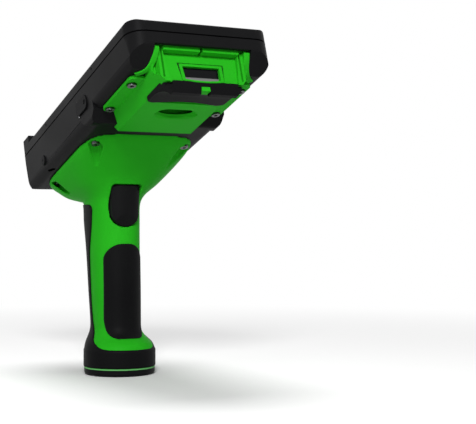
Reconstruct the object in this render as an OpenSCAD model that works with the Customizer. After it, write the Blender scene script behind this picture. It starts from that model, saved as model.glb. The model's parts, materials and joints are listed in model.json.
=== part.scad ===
// Pistol-grip scanner: a flat tilted head on a rubber-gripped handle with a trigger and a round foot.
// Millimetres, +Z up. The origin is the middle of the foot on the floor, and the scan window faces -Y.

/* [Foot] */
// Radius of the rubber band round the foot
foot_r = 25; // [23.5:0.5:28]
// Height of the turning cap that closes the foot
cap_h = 4.5; // [4:0.25:7]
// Thickness of the seal between the cap and the foot
seal_t = 0.9; // [0.6:0.1:1.5]
// Height of the rubber band
band_h = 11.9; // [11:0.1:14]
// Radius of the cap's neck inside the foot
cap_neck_r = 17; // [16.5:0.25:17.5]
// Height of the cap's neck above the cap
cap_neck_h = 8; // [7:0.5:9]
// Angle that the cap turns through, in degrees
cap_turn = 60; // [40:5:75]

/* [Handle] */
// Height of the neck, where the handle starts to flare
neck_z = 118; // [112:1:128]
// Height from the neck to the underside of the head, along the handle
neck_rise = 25; // [22:0.5:32]
// Width of the grip at mid-height
grip_w = 33.2; // [32:0.2:38]
// Depth of the grip at mid-height
grip_d = 42; // [40:0.5:46]
// How far the grip's axis leans back at the neck
lean = 14.5; // [12:0.5:16]
// Thickness of the rubber set into the handle
rubber_t = 2.4; // [2:0.1:3]
// How far the rubber stands proud of the handle
rubber_proud = 0.8; // [0.4:0.1:1.2]
// Length of the front pad
pad_len = 65; // [56:1:66]
// Wall of the hollow neck
neck_wall = 3.5; // [3:0.1:4.5]

/* [Trigger] */
// Width of the trigger
trigger_w = 21.5; // [20:0.5:23]
// Length of the trigger
trigger_len = 28.6; // [26:0.2:30]
// How far the trigger stands proud of the handle
trigger_proud = 3.2; // [2.5:0.1:4]
// Angle that the trigger pulls through, in degrees
trigger_pull = 9; // [6:0.5:10]

/* [Battery] */
// Radius of the battery
battery_r = 9.2; // [8:0.1:9.6]
// Length of the battery
battery_len = 69; // [60:1:72]

/* [Head] */
// Width of the head
head_w = 96; // [94:0.5:102]
// Length of the head
head_len = 212.5; // [211:0.5:220]
// Upward tilt of the head, in degrees
head_tilt = 18.8; // [15:0.2:22]
// Thickness of the top cover
cover_t = 7.5; // [6.5:0.25:9]
// Depth of the lower shell at the front
front_h = 19.7; // [19:0.1:22]
// Depth of the lower shell at the rear
rear_h = 26.2; // [25.5:0.1:30]
// Length of the deep rear part of the lower shell
rear_len = 134; // [131:0.5:136]
// Wall of the two shells
wall = 2.5; // [2:0.1:3]
// Radius of the front corners, seen from above
corner_r = 11; // [8:0.5:13]
// Chamfer of the rear corners across the head
rear_chamfer = 18; // [14:0.5:20]
// Chamfer of the rear corners along the head
rear_chamfer_len = 8.5; // [7:0.5:11]
// Height of the raised bridge at the rear of the cover
bridge_h = 4.5; // [3.5:0.25:6]
// Length of the bridge along the head
bridge_len = 21; // [20:0.25:26]
// Width of the face plate
plate_w = 67; // [58:0.5:70]
// Length of the face plate
plate_len = 131; // [110:1:134]
// Thickness of the face plate
plate_t = 1.2; // [1:0.05:1.4]
// Thickness of the gasket in the seam
gasket_t = 0.5; // [0.4:0.1:0.8]
// Width of the handle's flange under the head
flange_w = 80; // [76:0.5:84]
// Length of the handle's flange under the head
flange_len = 101; // [97:0.5:104]

/* [Nose] */
// Width of the shell beside the nose, which takes the nose's screws
nose_ledge = 15.7; // [14.7:0.1:17]
// How far each cheek of the nose draws in towards its underside
nose_taper = 6.3; // [5.3:0.1:8.3]
// How far the nose hangs below the front of the shell
nose_drop = 9.5; // [9:0.1:11]
// Gap on the underside between the handle's flange and the rear end of the nose
nose_gap = 11; // [8:0.5:13]
// Width of the window opening
window_w = 25; // [21:0.5:26]
// Height of the window opening
window_h = 9.5; // [8:0.25:10]
// Drop of the chin's lip below the nose
lip_drop = 7; // [5:0.25:9]

/* [Side port] */
// Length of the port door
port_len = 18; // [16:0.5:20]
// Height of the port door
port_h = 9.5; // [9:0.25:11]
// Thickness of the port door
door_t = 1.9; // [1.6:0.1:2.2]
// Radius of the door's hinge pin
door_pin_r = 0.6; // [0.5:0.05:0.7]

/* [Fasteners] */
// Radius of a screw's shank
screw_r = 1.5; // [1.2:0.1:1.6]
// Radius of a screw's head
screw_head_r = 2.8; // [2.5:0.1:3]
// Height of a screw's head
screw_head_h = 2.2; // [1.8:0.1:2.4]
// Radius of the trigger's pin
trigger_pin_r = 1.5; // [1.2:0.1:1.6]

/* [Fits] */
// Gap round pieces that are set into one another
clear = 0.25; // [0.15:0.05:0.35]
// Radial clearance of a pin in its bore
run_fit = 0.04; // [0.02:0.01:0.08]
// Visible seam between rubber and handle
seam = 0.5; // [0.3:0.1:0.7]

/* [Hidden] */
$fn = 48;

green = [0.05, 0.45, 0.03];
black = [0.03, 0.03, 0.035];
rubber = [0.02, 0.02, 0.022];
steel = [0.55, 0.56, 0.58];
silver = [0.66, 0.69, 0.71];
eps = 0.01;

// Levels of the head along its normal n, with the top face at 0
shell_top = -cover_t - gasket_t;
n_front = -cover_t - front_h;
n_rear = -cover_t - rear_h;
n_nose = n_front - nose_drop;
n_lip = n_nose - lip_drop;
half_w = head_w / 2;
step_len = 8;

// Where the handle's axis meets the underside of the head
seat_s = 54.8;
seat_y = lean - 2.5;
seat_z = neck_z + neck_rise;
head_y = seat_y + seat_s * cos(head_tilt) - n_rear * sin(head_tilt);
head_z = seat_z - seat_s * sin(head_tilt) - n_rear * cos(head_tilt);

// The handle's flange on the underside of the head, and its screws
flange_s0 = 17;
flange_s1 = flange_s0 + flange_len;
flange_t = 0.9;
flange_screws = [for (x = [-1, 1], s = [flange_s0 + 13, flange_s1 - 13]) [x * (flange_w / 2 - 7.7), s]];

// Screws through the top cover: at the bridge, at the middle and at the front
cover_mid = [half_w - 5.5, 108.3];
cover_front = [half_w - 10, head_len - 17.7];
cover_rear = [half_w - 11.5, bridge_len - 6.2];
cover_low = [for (x = [-1, 1], p = [cover_mid, cover_front]) [x * p[0], p[1]]];
cover_high = [for (x = [-1, 1]) [x * cover_rear[0], cover_rear[1]]];
head_sink = 0.6;
seal_h = 0.6;

// The nose and its flanges
nose_s1 = head_len - 6.5;
nose_s0 = flange_s1 + nose_gap;
nose_top = -cover_t - 4.7;
nose_lip = nose_top - 3;
nose_floor = n_nose + 2.5;
nose_back = rear_len + 13;
cheek_t = 3.3;
panel_s = nose_s1 - 2.2;
panel_t = 3.4;
nose_w = head_w - 2 * nose_ledge;
nose_under_w = nose_w - 2 * nose_taper;
panel_half = nose_w / 2 - 6.8;
rib_half = nose_w / 2 - 3.5;
flange_half = half_w - 6.5;
nose_flange_s0 = rear_len + step_len + 0.4;
nose_flange_s1 = head_len - 20.5;
nose_flange_t = 1.9;
nose_screws_at = [for (x = [-1, 1], s = [nose_flange_s0 + 4, nose_flange_s1 - 9.2]) [x * (half_w - 10.6), s]];
chin_s0 = nose_s1 - 30.7;
chin_top = n_nose + 1.4;
window_n1 = n_nose + 1.8;
window_n0 = window_n1 + window_h;
glass_t = 1.5;

// The foot: cap, seal, then the handle and its band
foot_z = cap_h + seal_t;
band_top = foot_z + band_h;
toe_r = foot_r - 0.4;
socket_r = cap_neck_r + 3.8;
socket_top = foot_z + 10.6;
lug_r = cap_neck_r + 2;
lug_w = 40;
lug_z0 = foot_z + 3.9;
lug_z1 = cap_h + cap_neck_h;
battery_y = 4;
battery_z0 = cap_h + 1.5;
battery_z1 = battery_z0 + battery_len;
contact_h = 3.5;

// A level station of the grip at height z: share of the lean, growth of the depth and width
function level(z, lean_share, depth_grow, wide_grow, square) = [
    lean * lean_share - (grip_d + depth_grow) / 2, z,
    lean * lean_share + (grip_d + depth_grow) / 2, z, (grip_w + wide_grow) / 2, square];
neck_st = level(neck_z, 1, 8.5, 3.2, 2.2);

// The front pad and the trigger on the handle
pad_top = neck_z - 27.6;
pad_z0 = pad_top - pad_len;
pad_half = grip_w / 2 - 2.9;
trigger_top = neck_z + 13;
trigger_z0 = trigger_top - trigger_len;
trigger_y0 = neck_st[0] - trigger_proud;
trigger_face = trigger_y0 + 5.8;
trigger_back = trigger_y0 + 12.5;
pivot = [trigger_y0 + 6.2, trigger_top - 3.4];
post_half = 3.8;
cage_y0 = pivot[0] + 13.6;
cage_t = 2.4;
cage_half = trigger_w / 2 - 1;
cage_z0 = trigger_z0 - 3.4;
switch_z = trigger_z0 + 8.5;
spring_z = trigger_z0 + 16;
spring_r = 2.6;
spring_wire = 0.6;

// The port on the left flank
port_s = 125.3;
port_n = -cover_t - 10.8;
hinge_s = port_s - port_len / 2 + 2;
hinge_x = -half_w + 1;
pin_over = 1.2;
vent_at = [44.5, -cover_t - 17];
vent_r = 3.4;

// Unit vector along v
function unit(v) = v / norm(v);

// Points of an arc of radius r that rounds the corner c between the points p and q
function corner(p, c, q, r, k) =
    let (u = unit(p - c), v = unit(q - c), half = acos(u * v) / 2)
    let (o = c + unit(u + v) * r / sin(half), d = c + u * r / tan(half) - o)
    let (a = atan2(d[1], d[0]), way = sign(cross(c - p, q - c)))
    [for (i = [0:k]) o + r * [cos(a + way * (180 - 2 * half) * i / k), sin(a + way * (180 - 2 * half) * i / k)]];

// Polygon through corners given as [x, y, radius]
function rounded(pts, k = 6) =
    let (m = len(pts), at = function (i) [pts[i % m][0], pts[i % m][1]])
    [for (i = [0:m - 1]) each
        pts[i][2] > 0 ? corner(at(i + m - 1), at(i), at(i + 1), pts[i][2], k) : [at(i)]];

// Rectangle between two corners with rounded corners
function plate_points(x0, y0, x1, y1, r, k = 6) =
    rounded([[x0, y0, r], [x1, y0, r], [x1, y1, r], [x0, y1, r]], k);

// Outline of the head seen from above, moved inwards by an inset; the local y axis points to the rear
function head_outline(inset) =
    let (slant = norm([rear_chamfer, rear_chamfer_len]))
    let (w = half_w - inset, f = max(corner_r - inset, 1))
    let (ws = rear_chamfer_len + inset * (slant - rear_chamfer_len) / rear_chamfer)
    let (wx = half_w - rear_chamfer - inset * (slant - rear_chamfer) / rear_chamfer_len)
    rounded([
        [w, -ws, 3], [wx, -inset, 3], [-wx, -inset, 3], [-w, -ws, 3],
        [-w, -head_len + inset, f],
        [w, -head_len + inset, f]]);

// Places its children in the head's own frame: x across, y towards the rear, z along the normal
module on_head() {
    translate([0, head_y, head_z])
        rotate([-head_tilt, 0, 0])
            children();
}

// Prism from a plan outline in (x, y) between two levels of n
module plan_prism(pts, n0, n1) {
    translate([0, 0, n0])
        linear_extrude(n1 - n0)
            polygon(pts);
}

// Prism from a side profile in (s, n) across the width w
module side_prism(pts, w) {
    translate([w / 2, 0, 0])
        rotate([90, 0, -90])
            linear_extrude(w)
                polygon(pts);
}

// Prism from a front profile in (x, n) between two stations along the head
module front_prism(pts, s0, s1) {
    translate([0, -s0, 0])
        rotate([90, 0, 0])
            linear_extrude(s1 - s0)
                polygon(pts);
}

// Box between two corners
module box(a, b) {
    translate(a)
        cube(b - a);
}

// Copies its children to points [x, s] on the head, at level n
module at_points(pts, n) {
    for (p = pts)
        translate([p[0], -p[1], n])
            children();
}

// Socket screw that points down from its head's seat at 0, with its head above
module screw(shank) {
    difference() {
        union() {
            cylinder(r = screw_head_r, h = screw_head_h);
            translate([0, 0, -shank])
                cylinder(r = screw_r, h = shank + eps);
        }
        translate([0, 0, screw_head_h - 1.3])
            cylinder(r = screw_head_r * 0.5, h = 2, $fn = 6);
    }
}

// Black upper half of the head with its raised bridge
module cover_body() {
    intersection() {
        plan_prism(head_outline(0), -cover_t, bridge_h);
        front_prism(rounded([
            [-half_w, -cover_t, 0], [half_w, -cover_t, 0],
            [half_w, 0, 2], [-half_w, 0, 2]]), -1, head_len + 1);
        side_prism(rounded([
            [-1, -cover_t, 0], [head_len, -cover_t, 0], [head_len, 0, 2], [-1, 0, 0]]), head_w + 2);
    }
    intersection() {
        plan_prism(head_outline(0), -cover_t, bridge_h);
        side_prism(rounded([
            [-1, -cover_t, 0], [bridge_len, -cover_t, 0], [bridge_len, bridge_h, 1.2],
            [0, bridge_h, 1.2], [0, -cover_t, 0]]), head_w + 2);
        front_prism(rounded([
            [-half_w, -cover_t, 0], [half_w, -cover_t, 0],
            [half_w, bridge_h, 1.2], [-half_w, bridge_h, 1.2]]), -1, bridge_len + 1);
    }
}

// Outline of the notch in the bridge, moved inwards by a gap
function notch_outline(gap) = [
    [-17.5 + gap, -bridge_len + 4 + gap], [17.5 - gap, -bridge_len + 4 + gap],
    [27 - gap, 1 - gap * 2], [-27 + gap, 1 - gap * 2]];
notch_n = 0.6;
bead_r = 3;

module top_cover() {
    color(black)
        on_head()
            difference() {
                union() {
                    difference() {
                        cover_body();
                        plan_prism(head_outline(wall), -cover_t - 1, -wall - plate_t / 2);
                        plan_prism(notch_outline(0), notch_n, bridge_h + 1);
                    }
                    at_points(concat(cover_low, cover_high), -cover_t)
                        cylinder(r = screw_head_r + 2, h = cover_t - 1);
                    translate([0, -bridge_len + 4, notch_n - eps])
                        cylinder(r = bead_r, h = bridge_h - notch_n - 0.4);
                }
                plan_prism(plate_points(-plate_w / 2 - clear, -plate_s1 - clear,
                    plate_w / 2 + clear, -plate_s0 + clear, 8.5), -plate_t, 1);
                at_points(cover_low, -screw_head_h - head_sink - seal_h)
                    screw_hole(cover_t);
                at_points(cover_high, bridge_h - screw_head_h - head_sink - seal_h)
                    screw_hole(cover_t + bridge_h);
                for (side = [-1, 1], s = [59.3, 149.3])
                    translate([side * half_w, -s, -cover_t / 2])
                        rotate([0, 90, 0])
                            cylinder(r = 0.9, h = 2, center = true);
            }
}

// Recess for a screw's head and a clearance hole below it
module screw_hole(depth) {
    cylinder(r = screw_head_r + 0.6, h = 20);
    translate([0, 0, -depth])
        cylinder(r = screw_r + 0.2, h = depth + eps);
}

// Plain metal plate let into the top
plate_s0 = bridge_len + 25.8;
plate_s1 = plate_s0 + plate_len;
module face_plate() {
    color(silver)
        on_head()
            plan_prism(plate_points(-plate_w / 2, -plate_s1, plate_w / 2, -plate_s0, 8.25), -plate_t, 0.1);
}

// Green wedge in the bridge's notch, flush with the chamfered rear corners
module rear_inlay() {
    color(green)
        on_head()
            difference() {
                intersection() {
                    plan_prism(notch_outline(clear), notch_n, bridge_h - 1.2);
                    plan_prism(head_outline(0.4), notch_n, bridge_h);
                }
                translate([0, -bridge_len + 4, 0])
                    cylinder(r = bead_r + clear, h = bridge_h);
            }
}

cover_screw_len = cover_t + 8;
module cover_screws() {
    color(steel)
        on_head() {
            at_points(cover_low, -screw_head_h - head_sink)
                screw(cover_screw_len);
            at_points(cover_high, bridge_h - screw_head_h - head_sink)
                screw(cover_screw_len + bridge_h);
        }
}

// Sealing washers under the cover's screws
module screw_seals() {
    color(green)
        on_head() {
            at_points(cover_low, -screw_head_h - head_sink - seal_h)
                washer();
            at_points(cover_high, bridge_h - screw_head_h - head_sink - seal_h)
                washer();
        }
}

module washer() {
    difference() {
        cylinder(r = screw_head_r + 0.5, h = seal_h);
        translate([0, 0, -1])
            cylinder(r = screw_r + 0.1, h = seal_h + 2);
    }
}

module cover_gasket() {
    color(rubber)
        on_head()
            difference() {
                plan_prism(head_outline(1), shell_top, -cover_t);
                plan_prism(head_outline(wall - 0.1), shell_top - 1, -cover_t + 1);
            }
}

// Outer form of the lower shell: a shallow front with a sloped lower edge, a deep rear and a full rim
// where the deep part ends
module shell_body() {
    intersection() {
        plan_prism(head_outline(0), n_rear - 1, shell_top);
        union() {
            intersection() {
                side_prism(rounded([
                    [-1, shell_top, 0], [head_len, shell_top, 0], [head_len, shell_top - 8, 4],
                    [head_len - 12.5, n_front, 5], [-1, n_front, 0]]), head_w + 2);
                shell_section(20, head_len + 1, n_front, 2 * front_h / rear_h, 6);
            }
            intersection() {
                shell_profile(0);
                shell_section(-1, rear_len + step_len + 1, n_rear, 2, 8);
            }
            intersection() {
                shell_profile(rear_len - 17);
                shell_section(-1, rear_len + step_len + 1, n_rear, 2, 3.5);
            }
        }
    }
}

// Side profile of the deep part from the station s0 to its sloped front end
module shell_profile(s0) {
    side_prism(rounded([
        [s0 - 1, shell_top, 0], [rear_len + step_len, shell_top, 0], [rear_len + step_len, n_front, 0],
        [rear_len, n_rear, 5], [s0, n_rear, 14], [s0, n_rear / 2, 0], [s0 - 1, n_rear / 2, 0]]), head_w + 2);
}

// Cross-section of the shell between two stations, with drafted sides and rounded lower edges
module shell_section(s0, s1, n, draft, r) {
    front_prism(rounded([
        [-half_w, shell_top, 0], [-half_w + draft, n, r],
        [half_w - draft, n, r], [half_w, shell_top, 0]]), s0, s1);
}

// Hollow of the lower shell, stepped like its underside and sloped like its front
module shell_hollow() {
    intersection() {
        plan_prism(head_outline(wall + 0.5), n_front + wall, shell_top + 1);
        side_prism([
            [0, shell_top + 1], [head_len, shell_top + 1], [head_len, shell_top - 8 + wall],
            [head_len - 12.5 - wall, n_front + wall], [0, n_front + wall]], head_w);
    }
    plan_prism(plate_points(-half_w + 9, -rear_len + 3, half_w - 9, -rear_chamfer_len - 5, 4),
        n_rear + 3, n_front + wall + 1);
}

// Opening in the shell's front and floor that the nose fills
module nose_opening() {
    side_prism([
        [nose_back - clear, n_rear], [head_len + 1, n_rear], [head_len + 1, shell_top - 7.2],
        [head_len - wall, shell_top - 7.2], [head_len - wall, nose_top + clear],
        [nose_back - clear, nose_top + clear]], nose_w + 2 * clear);
}

module lower_shell() {
    color(black)
        on_head()
            difference() {
                union() {
                    difference() {
                        shell_body();
                        shell_hollow();
                    }
                    intersection() {
                        shell_body();
                        union() {
                            at_points(concat(cover_low, cover_high), n_rear)
                                cylinder(r = screw_r + 2.3, h = shell_top - n_rear);
                            at_points(nose_screws_at, n_rear)
                                cylinder(r = screw_r + 2.3, h = shell_top - n_rear - 5);
                            at_points(flange_screws, n_rear)
                                cylinder(r = screw_r + 2.3, h = 12);
                            at_points(board_screws_at, n_rear)
                                cylinder(r = screw_r + 2, h = board_n - n_rear);
                            box([-half_w, -port_s - port_len / 2 - 3, n_front + 1],
                                [-half_w + 6, -port_s + port_len / 2 + 3, shell_top]);
                            translate([-half_w, -vent_at[0], vent_at[1]])
                                rotate([0, 90, 0])
                                    cylinder(r = vent_r + 2, h = 5);
                        }
                    }
                }
                nose_opening();
                at_points(concat(cover_low, cover_high), -cover_screw_len - screw_head_h - 1.4)
                    cylinder(r = screw_r + run_fit, h = 30);
                at_points(nose_screws_at, n_front - 1)
                    cylinder(r = screw_r + run_fit, h = nose_screw_len + 1);
                at_points(flange_screws, n_rear - 1)
                    cylinder(r = screw_r + run_fit, h = flange_screw_len + 1);
                at_points(board_screws_at, board_n - board_screw_len - 0.5)
                    cylinder(r = screw_r + run_fit, h = 20);
                port_pocket();
                translate([-half_w - 1, -vent_at[0], vent_at[1]])
                    rotate([0, 90, 0])
                        cylinder(r = vent_r + clear, h = 3);
            }
}

// Pill outline of the port door in (y, n), grown by a gap
function pill(len, h, gap) =
    plate_points(-len / 2 - gap, -h / 2 - gap, len / 2 + gap, h / 2 + gap, h / 2 - 1 + gap, 10);

// Prism across the left flank from a (y, n) outline round the port's middle, between two depths
module flank_prism(pts, d0, d1) {
    translate([-half_w + d0, -port_s, port_n])
        rotate([90, 0, 90])
            linear_extrude(d1 - d0)
                polygon(pts);
}

// Pocket for the door, room for its hinge, the pin's two seats and the socket's slot
module port_pocket() {
    flank_prism(pill(port_len, port_h, clear), -1, door_t + 0.4);
    translate([hinge_x, -hinge_s, port_n - port_h / 2 + 0.8])
        cylinder(r = 2.7, h = port_h - 1.6);
    // Room for the door's upper and lower corners as they turn past the hinge
    translate([hinge_x, -hinge_s, port_n - port_h / 2])
        cylinder(r = 1.9, h = port_h);
    translate([hinge_x, -hinge_s, port_n - port_h / 2 - pin_over])
        cylinder(r = door_pin_r + run_fit, h = port_h + 2 * pin_over);
    flank_prism(plate_points(-socket_w / 2 - clear, -socket_t / 2 - clear,
        socket_w / 2 + clear, socket_t / 2 + clear, 1.2), 0, 20);
}

socket_w = 9;
socket_t = 3.4;
module port_socket() {
    color(steel)
        on_head()
            difference() {
                flank_prism(plate_points(-socket_w / 2, -socket_t / 2, socket_w / 2, socket_t / 2, 1.2),
                    door_t + 0.6, 12);
                flank_prism(plate_points(-socket_w / 2 + 0.4, -socket_t / 2 + 0.4,
                    socket_w / 2 - 0.4, socket_t / 2 - 0.4, 0.8), 0, 9);
            }
}

// Rubber flap over the port, with a knuckle at its rear end
module port_door() {
    color(rubber)
        on_head()
            difference() {
                union() {
                    flank_prism(pill(port_len, port_h, 0), 0, door_t);
                    translate([hinge_x, -hinge_s, port_n - port_h / 2 + 1])
                        cylinder(r = 1, h = port_h - 2);
                }
                translate([hinge_x, -hinge_s, port_n - port_h])
                    cylinder(r = door_pin_r + run_fit, h = 2 * port_h);
                translate([-half_w, -port_s - port_len / 2 + 3, port_n])
                    rotate([0, 90, 0])
                        cylinder(r = 1.6, h = 1.2, center = true);
            }
}

module port_door_pin() {
    color(steel)
        on_head()
            translate([hinge_x, -hinge_s, port_n - port_h / 2 - pin_over])
                cylinder(r = door_pin_r, h = port_h + 2 * pin_over);
}

// Round pressure plug in the left flank
module vent_plug() {
    color(rubber)
        on_head()
            translate([-half_w, -vent_at[0], vent_at[1]])
                rotate([0, 90, 0])
                    difference() {
                        translate([0, 0, 0.3])
                            cylinder(r = vent_r, h = 1.7);
                        translate([0, 0, -1])
                            cylinder(r = 0.7, h = 2.2);
                    }
}

// Outer form of the nose: a wedge with upright cheeks, open at the top. Between the ribs its front is
// straight, and outside them the rims of the cheeks draw back along the shell's sloped front
module nose_body() {
    notch = [
        [nose_s1 + 1.5, n_nose + 1.4], [nose_s1 - 5, n_front - 1.4],
        [head_len - wall - 0.6, shell_top - 7.7], [head_len + 2, shell_top - 7.7], [head_len + 2, n_nose + 1.4]];
    difference() {
        intersection() {
            front_prism([
                [-nose_w / 2, nose_top], [-nose_w / 2, n_front - 2], [-nose_under_w / 2, n_nose],
                [nose_under_w / 2, n_nose], [nose_w / 2, n_front - 2], [nose_w / 2, nose_top]],
                nose_s0 - 1, head_len + 1);
            side_prism([
                [nose_s0, n_nose], [nose_s1 + 0.6, n_nose], [nose_s1 + 1, n_nose + 1.4],
                [head_len - wall - 0.5, shell_top - 7.6], [nose_s1 - 0.6, nose_lip],
                [nose_s1 - 0.6, nose_top], [nose_back, nose_top], [nose_back, n_front - clear],
                [rear_len + step_len + 0.8, n_front - clear], [rear_len + 0.5, n_rear - clear],
                [nose_s0, n_rear - clear]], nose_w + 2);
        }
        box([-rib_half, -head_len, n_nose + 1.4], [rib_half, -nose_s1 - 0.3, nose_top]);
        for (side = [-1, 1])
            translate([side * (rib_half + 5), 0, 0])
                side_prism(notch, 10);
    }
}

// Space for the sight tab and its stem, grown by a gap
module tab_space(gap) {
    box([-2.8 - gap, -nose_s1 - 0.6 - gap, n_lip + 1.5 - gap], [2.8 + gap, -nose_s1 + 4.5 + gap, n_nose - 2.4 + gap]);
    box([-2.8 - gap, -nose_s1 + 1.5 - gap, n_nose - 3], [2.8 + gap, -nose_s1 + 3.5 + gap, chin_top + 0.4]);
}

module nose_housing() {
    color(green)
        on_head() {
            difference() {
                union() {
                    nose_body();
                    plan_prism(plate_points(-flange_half, -nose_flange_s1, flange_half, -nose_flange_s0, 4),
                        n_front - clear - nose_flange_t, n_front - clear);
                }
                // Hollow for the scan engine
                front_prism([
                    [-nose_w / 2 + cheek_t, nose_top + 1], [-nose_w / 2 + cheek_t, n_front],
                    [-nose_under_w / 2 + cheek_t, nose_floor], [nose_under_w / 2 - cheek_t, nose_floor],
                    [nose_w / 2 - cheek_t, n_front], [nose_w / 2 - cheek_t, nose_top + 1]],
                    nose_back + 3, panel_s - panel_t);
                // Front recess, narrower and further forward at its foot
                translate([0, -panel_s + 1.2, nose_lip])
                    rotate([-7, 0, 0])
                        front_prism([
                            [-panel_half, 0], [panel_half, 0], [panel_half - 2.6, n_nose - nose_lip - 1],
                            [-panel_half + 2.6, n_nose - nose_lip - 1]], 0, 20);
                // Slots inside the ribs and the hollows outside them
                for (side = [-1, 1]) {
                    translate([side * (panel_half + 0.9), -panel_s, 0])
                        box([-0.65, -20, nose_floor], [0.65, 1.4, nose_lip - 0.6]);
                    translate([side * (rib_half + 1.2), -panel_s, 0])
                        box([-1, -20, n_front - 4], [1, 3, nose_lip - 0.8]);
                }
                window_opening();
                // Bed of the chin bumper
                plan_prism(chin_plan(-nose_s1 + 6, clear), n_lip, chin_top);
                // Aiming groove under the top lip
                box([-0.9, -nose_s1, nose_lip - 1], [0.9, -nose_s1 + 6, nose_lip + 1.6]);
                at_points(nose_screws_at, n_front - clear - 1)
                    rotate([180, 0, 0])
                        screw_hole(4);
                sounder_recess();
            }
            tab_space(0);
        }
}

// Window through the panel, its stepped surround with a bowed lower edge and the rebate that holds the glass
module window_opening() {
    window_mid = (window_n0 + window_n1) / 2;
    front_prism(concat([[window_w / 2, window_n0], [-window_w / 2, window_n0]], window_bow(window_w / 2 - 0.6, 0)),
        panel_s - panel_t - 2, head_len + 1);
    front_prism(concat([[window_w / 2 + 3.2, window_n0 + 2.4], [-window_w / 2 - 3.2, window_n0 + 2.4]],
        window_bow(window_w / 2 + 1.6, 0.7)), panel_s - 0.8, head_len + 1);
    front_prism(plate_points(-glass_w / 2 - clear, window_mid - glass_h / 2 - clear,
        glass_w / 2 + clear, window_mid + glass_h / 2 + clear, 0.8),
        panel_s - panel_t - 1, panel_s - panel_t + glass_t + 0.2);
}

// Lower edge of the window from left to right, bowed downwards
function window_bow(half, low) = [for (i = [-6:6])
    [half * i / 6, window_n1 - low + 0.9 * (i * i / 36 - 1)]];

glass_w = window_w + 3;
glass_h = window_h + 1.4;
module scan_window() {
    window_mid = (window_n0 + window_n1) / 2;
    color([0.06, 0.07, 0.08])
        on_head()
            front_prism(plate_points(-glass_w / 2, window_mid - glass_h / 2,
                glass_w / 2, window_mid + glass_h / 2, 0.8), panel_s - panel_t + 0.1, panel_s - panel_t + 0.1 + glass_t);
}

// Oval scoop on the nose's underside with the sounder's slot in it
sounder_s = nose_s1 - 47.5;
sounder_x = 2;
module sounder_recess() {
    translate([sounder_x, -sounder_s, n_nose])
        hull() {
            for (side = [-1, 1])
                translate([side * 7.5, 0, -0.5])
                    cylinder(r1 = 8.6, r2 = 3.6, h = 2.4, $fn = 32);
        }
    plan_prism(plate_points(sounder_x - 10.5, -sounder_s - 2, sounder_x + 10.5, -sounder_s + 2, 1.9), n_nose - 1, nose_floor + 1);
}

// Plan of the chin from its front end at y0 to its rounded rear corners, grown by a gap
function chin_plan(y0, gap) =
    let (w = nose_under_w / 2 + 1.2 + gap)
    rounded([[-w, y0, 0], [w, y0, 0], [w, -chin_s0 + gap, 7], [-w, -chin_s0 + gap, 7]]);

// Black pad under the nose with a scooped face and a hanging lip, slotted for the sight tab
module chin_bumper() {
    lip_s = nose_s1 - 0.6;
    color(rubber)
        on_head()
            difference() {
                intersection() {
                    side_prism(concat([
                        [chin_s0, chin_top - 0.05], [chin_s0, n_nose - 0.4], [chin_s0 + 2, n_nose - 0.8]],
                        [for (a = [0:10:90]) [lip_s - 3.4 - 18 * (1 - sin(a)), n_lip + (lip_drop - 1.2) * cos(a)]],
                        [[lip_s, n_lip], [lip_s + 2.4, n_nose - 0.1], [nose_s1 - 6.2, n_nose - 0.1],
                        [nose_s1 - 6.2, chin_top - 0.05]]), nose_w);
                    front_prism([
                        [-nose_under_w / 2 - 1, chin_top + 2], [-nose_under_w / 2 - 1, chin_top - 0.2],
                        [-nose_under_w / 2, n_nose - 2], [-nose_under_w / 2 + 4, n_lip],
                        [nose_under_w / 2 - 4, n_lip], [nose_under_w / 2, n_nose - 2],
                        [nose_under_w / 2 + 1, chin_top - 0.2], [nose_under_w / 2 + 1, chin_top + 2]],
                        chin_s0 - 1, head_len + 2);
                    plan_prism(chin_plan(-head_len - 2, 0), n_lip - 1, chin_top + 1);
                }
                tab_space(clear);
                box([-2.8 - clear, -head_len - 2, n_lip - 1], [2.8 + clear, -nose_s1 + 4.5, n_lip + 1.6]);
                for (side = [-1, 1])
                    translate([side * nose_under_w / 2, 0, 0])
                        box([-4, -head_len, n_nose - 2.6], [4, -nose_s1 + 2, n_nose + 1]);
            }
}

nose_screw_len = 7;
module nose_screws() {
    color(steel)
        on_head()
            at_points(nose_screws_at, n_front - clear - 1)
                rotate([180, 0, 0])
                    screw(nose_screw_len);
}

// Camera block with a lens and two lights, on a folded bracket
engine_w = 22;
engine_n0 = nose_floor + 2;
engine_s1 = panel_s - panel_t - 1.6;
module scan_engine() {
    color(black)
        on_head() {
            box([-engine_w / 2, -engine_s1, engine_n0], [engine_w / 2, -engine_s1 + 15, engine_n0 + 11]);
            translate([0, -engine_s1 + eps, engine_n0 + 5])
                rotate([90, 0, 0])
                    cylinder(r = 3.2, h = 1.1);
            for (side = [-1, 1])
                translate([side * 7.5, -engine_s1 + eps, engine_n0 + 5])
                    rotate([90, 0, 0])
                        cylinder(r = 1.8, h = 0.7);
        }
}

module engine_bracket() {
    color(steel)
        on_head() {
            box([-engine_w / 2 - 4, -engine_s1, engine_n0 - 1.9], [engine_w / 2 + 4, -engine_s1 + 22, engine_n0 - 0.1]);
            box([-engine_w / 2 - 4, -engine_s1 + 15.2, engine_n0 - 1.9], [engine_w / 2 + 4, -engine_s1 + 16.7, engine_n0 + 9]);
        }
}

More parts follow.
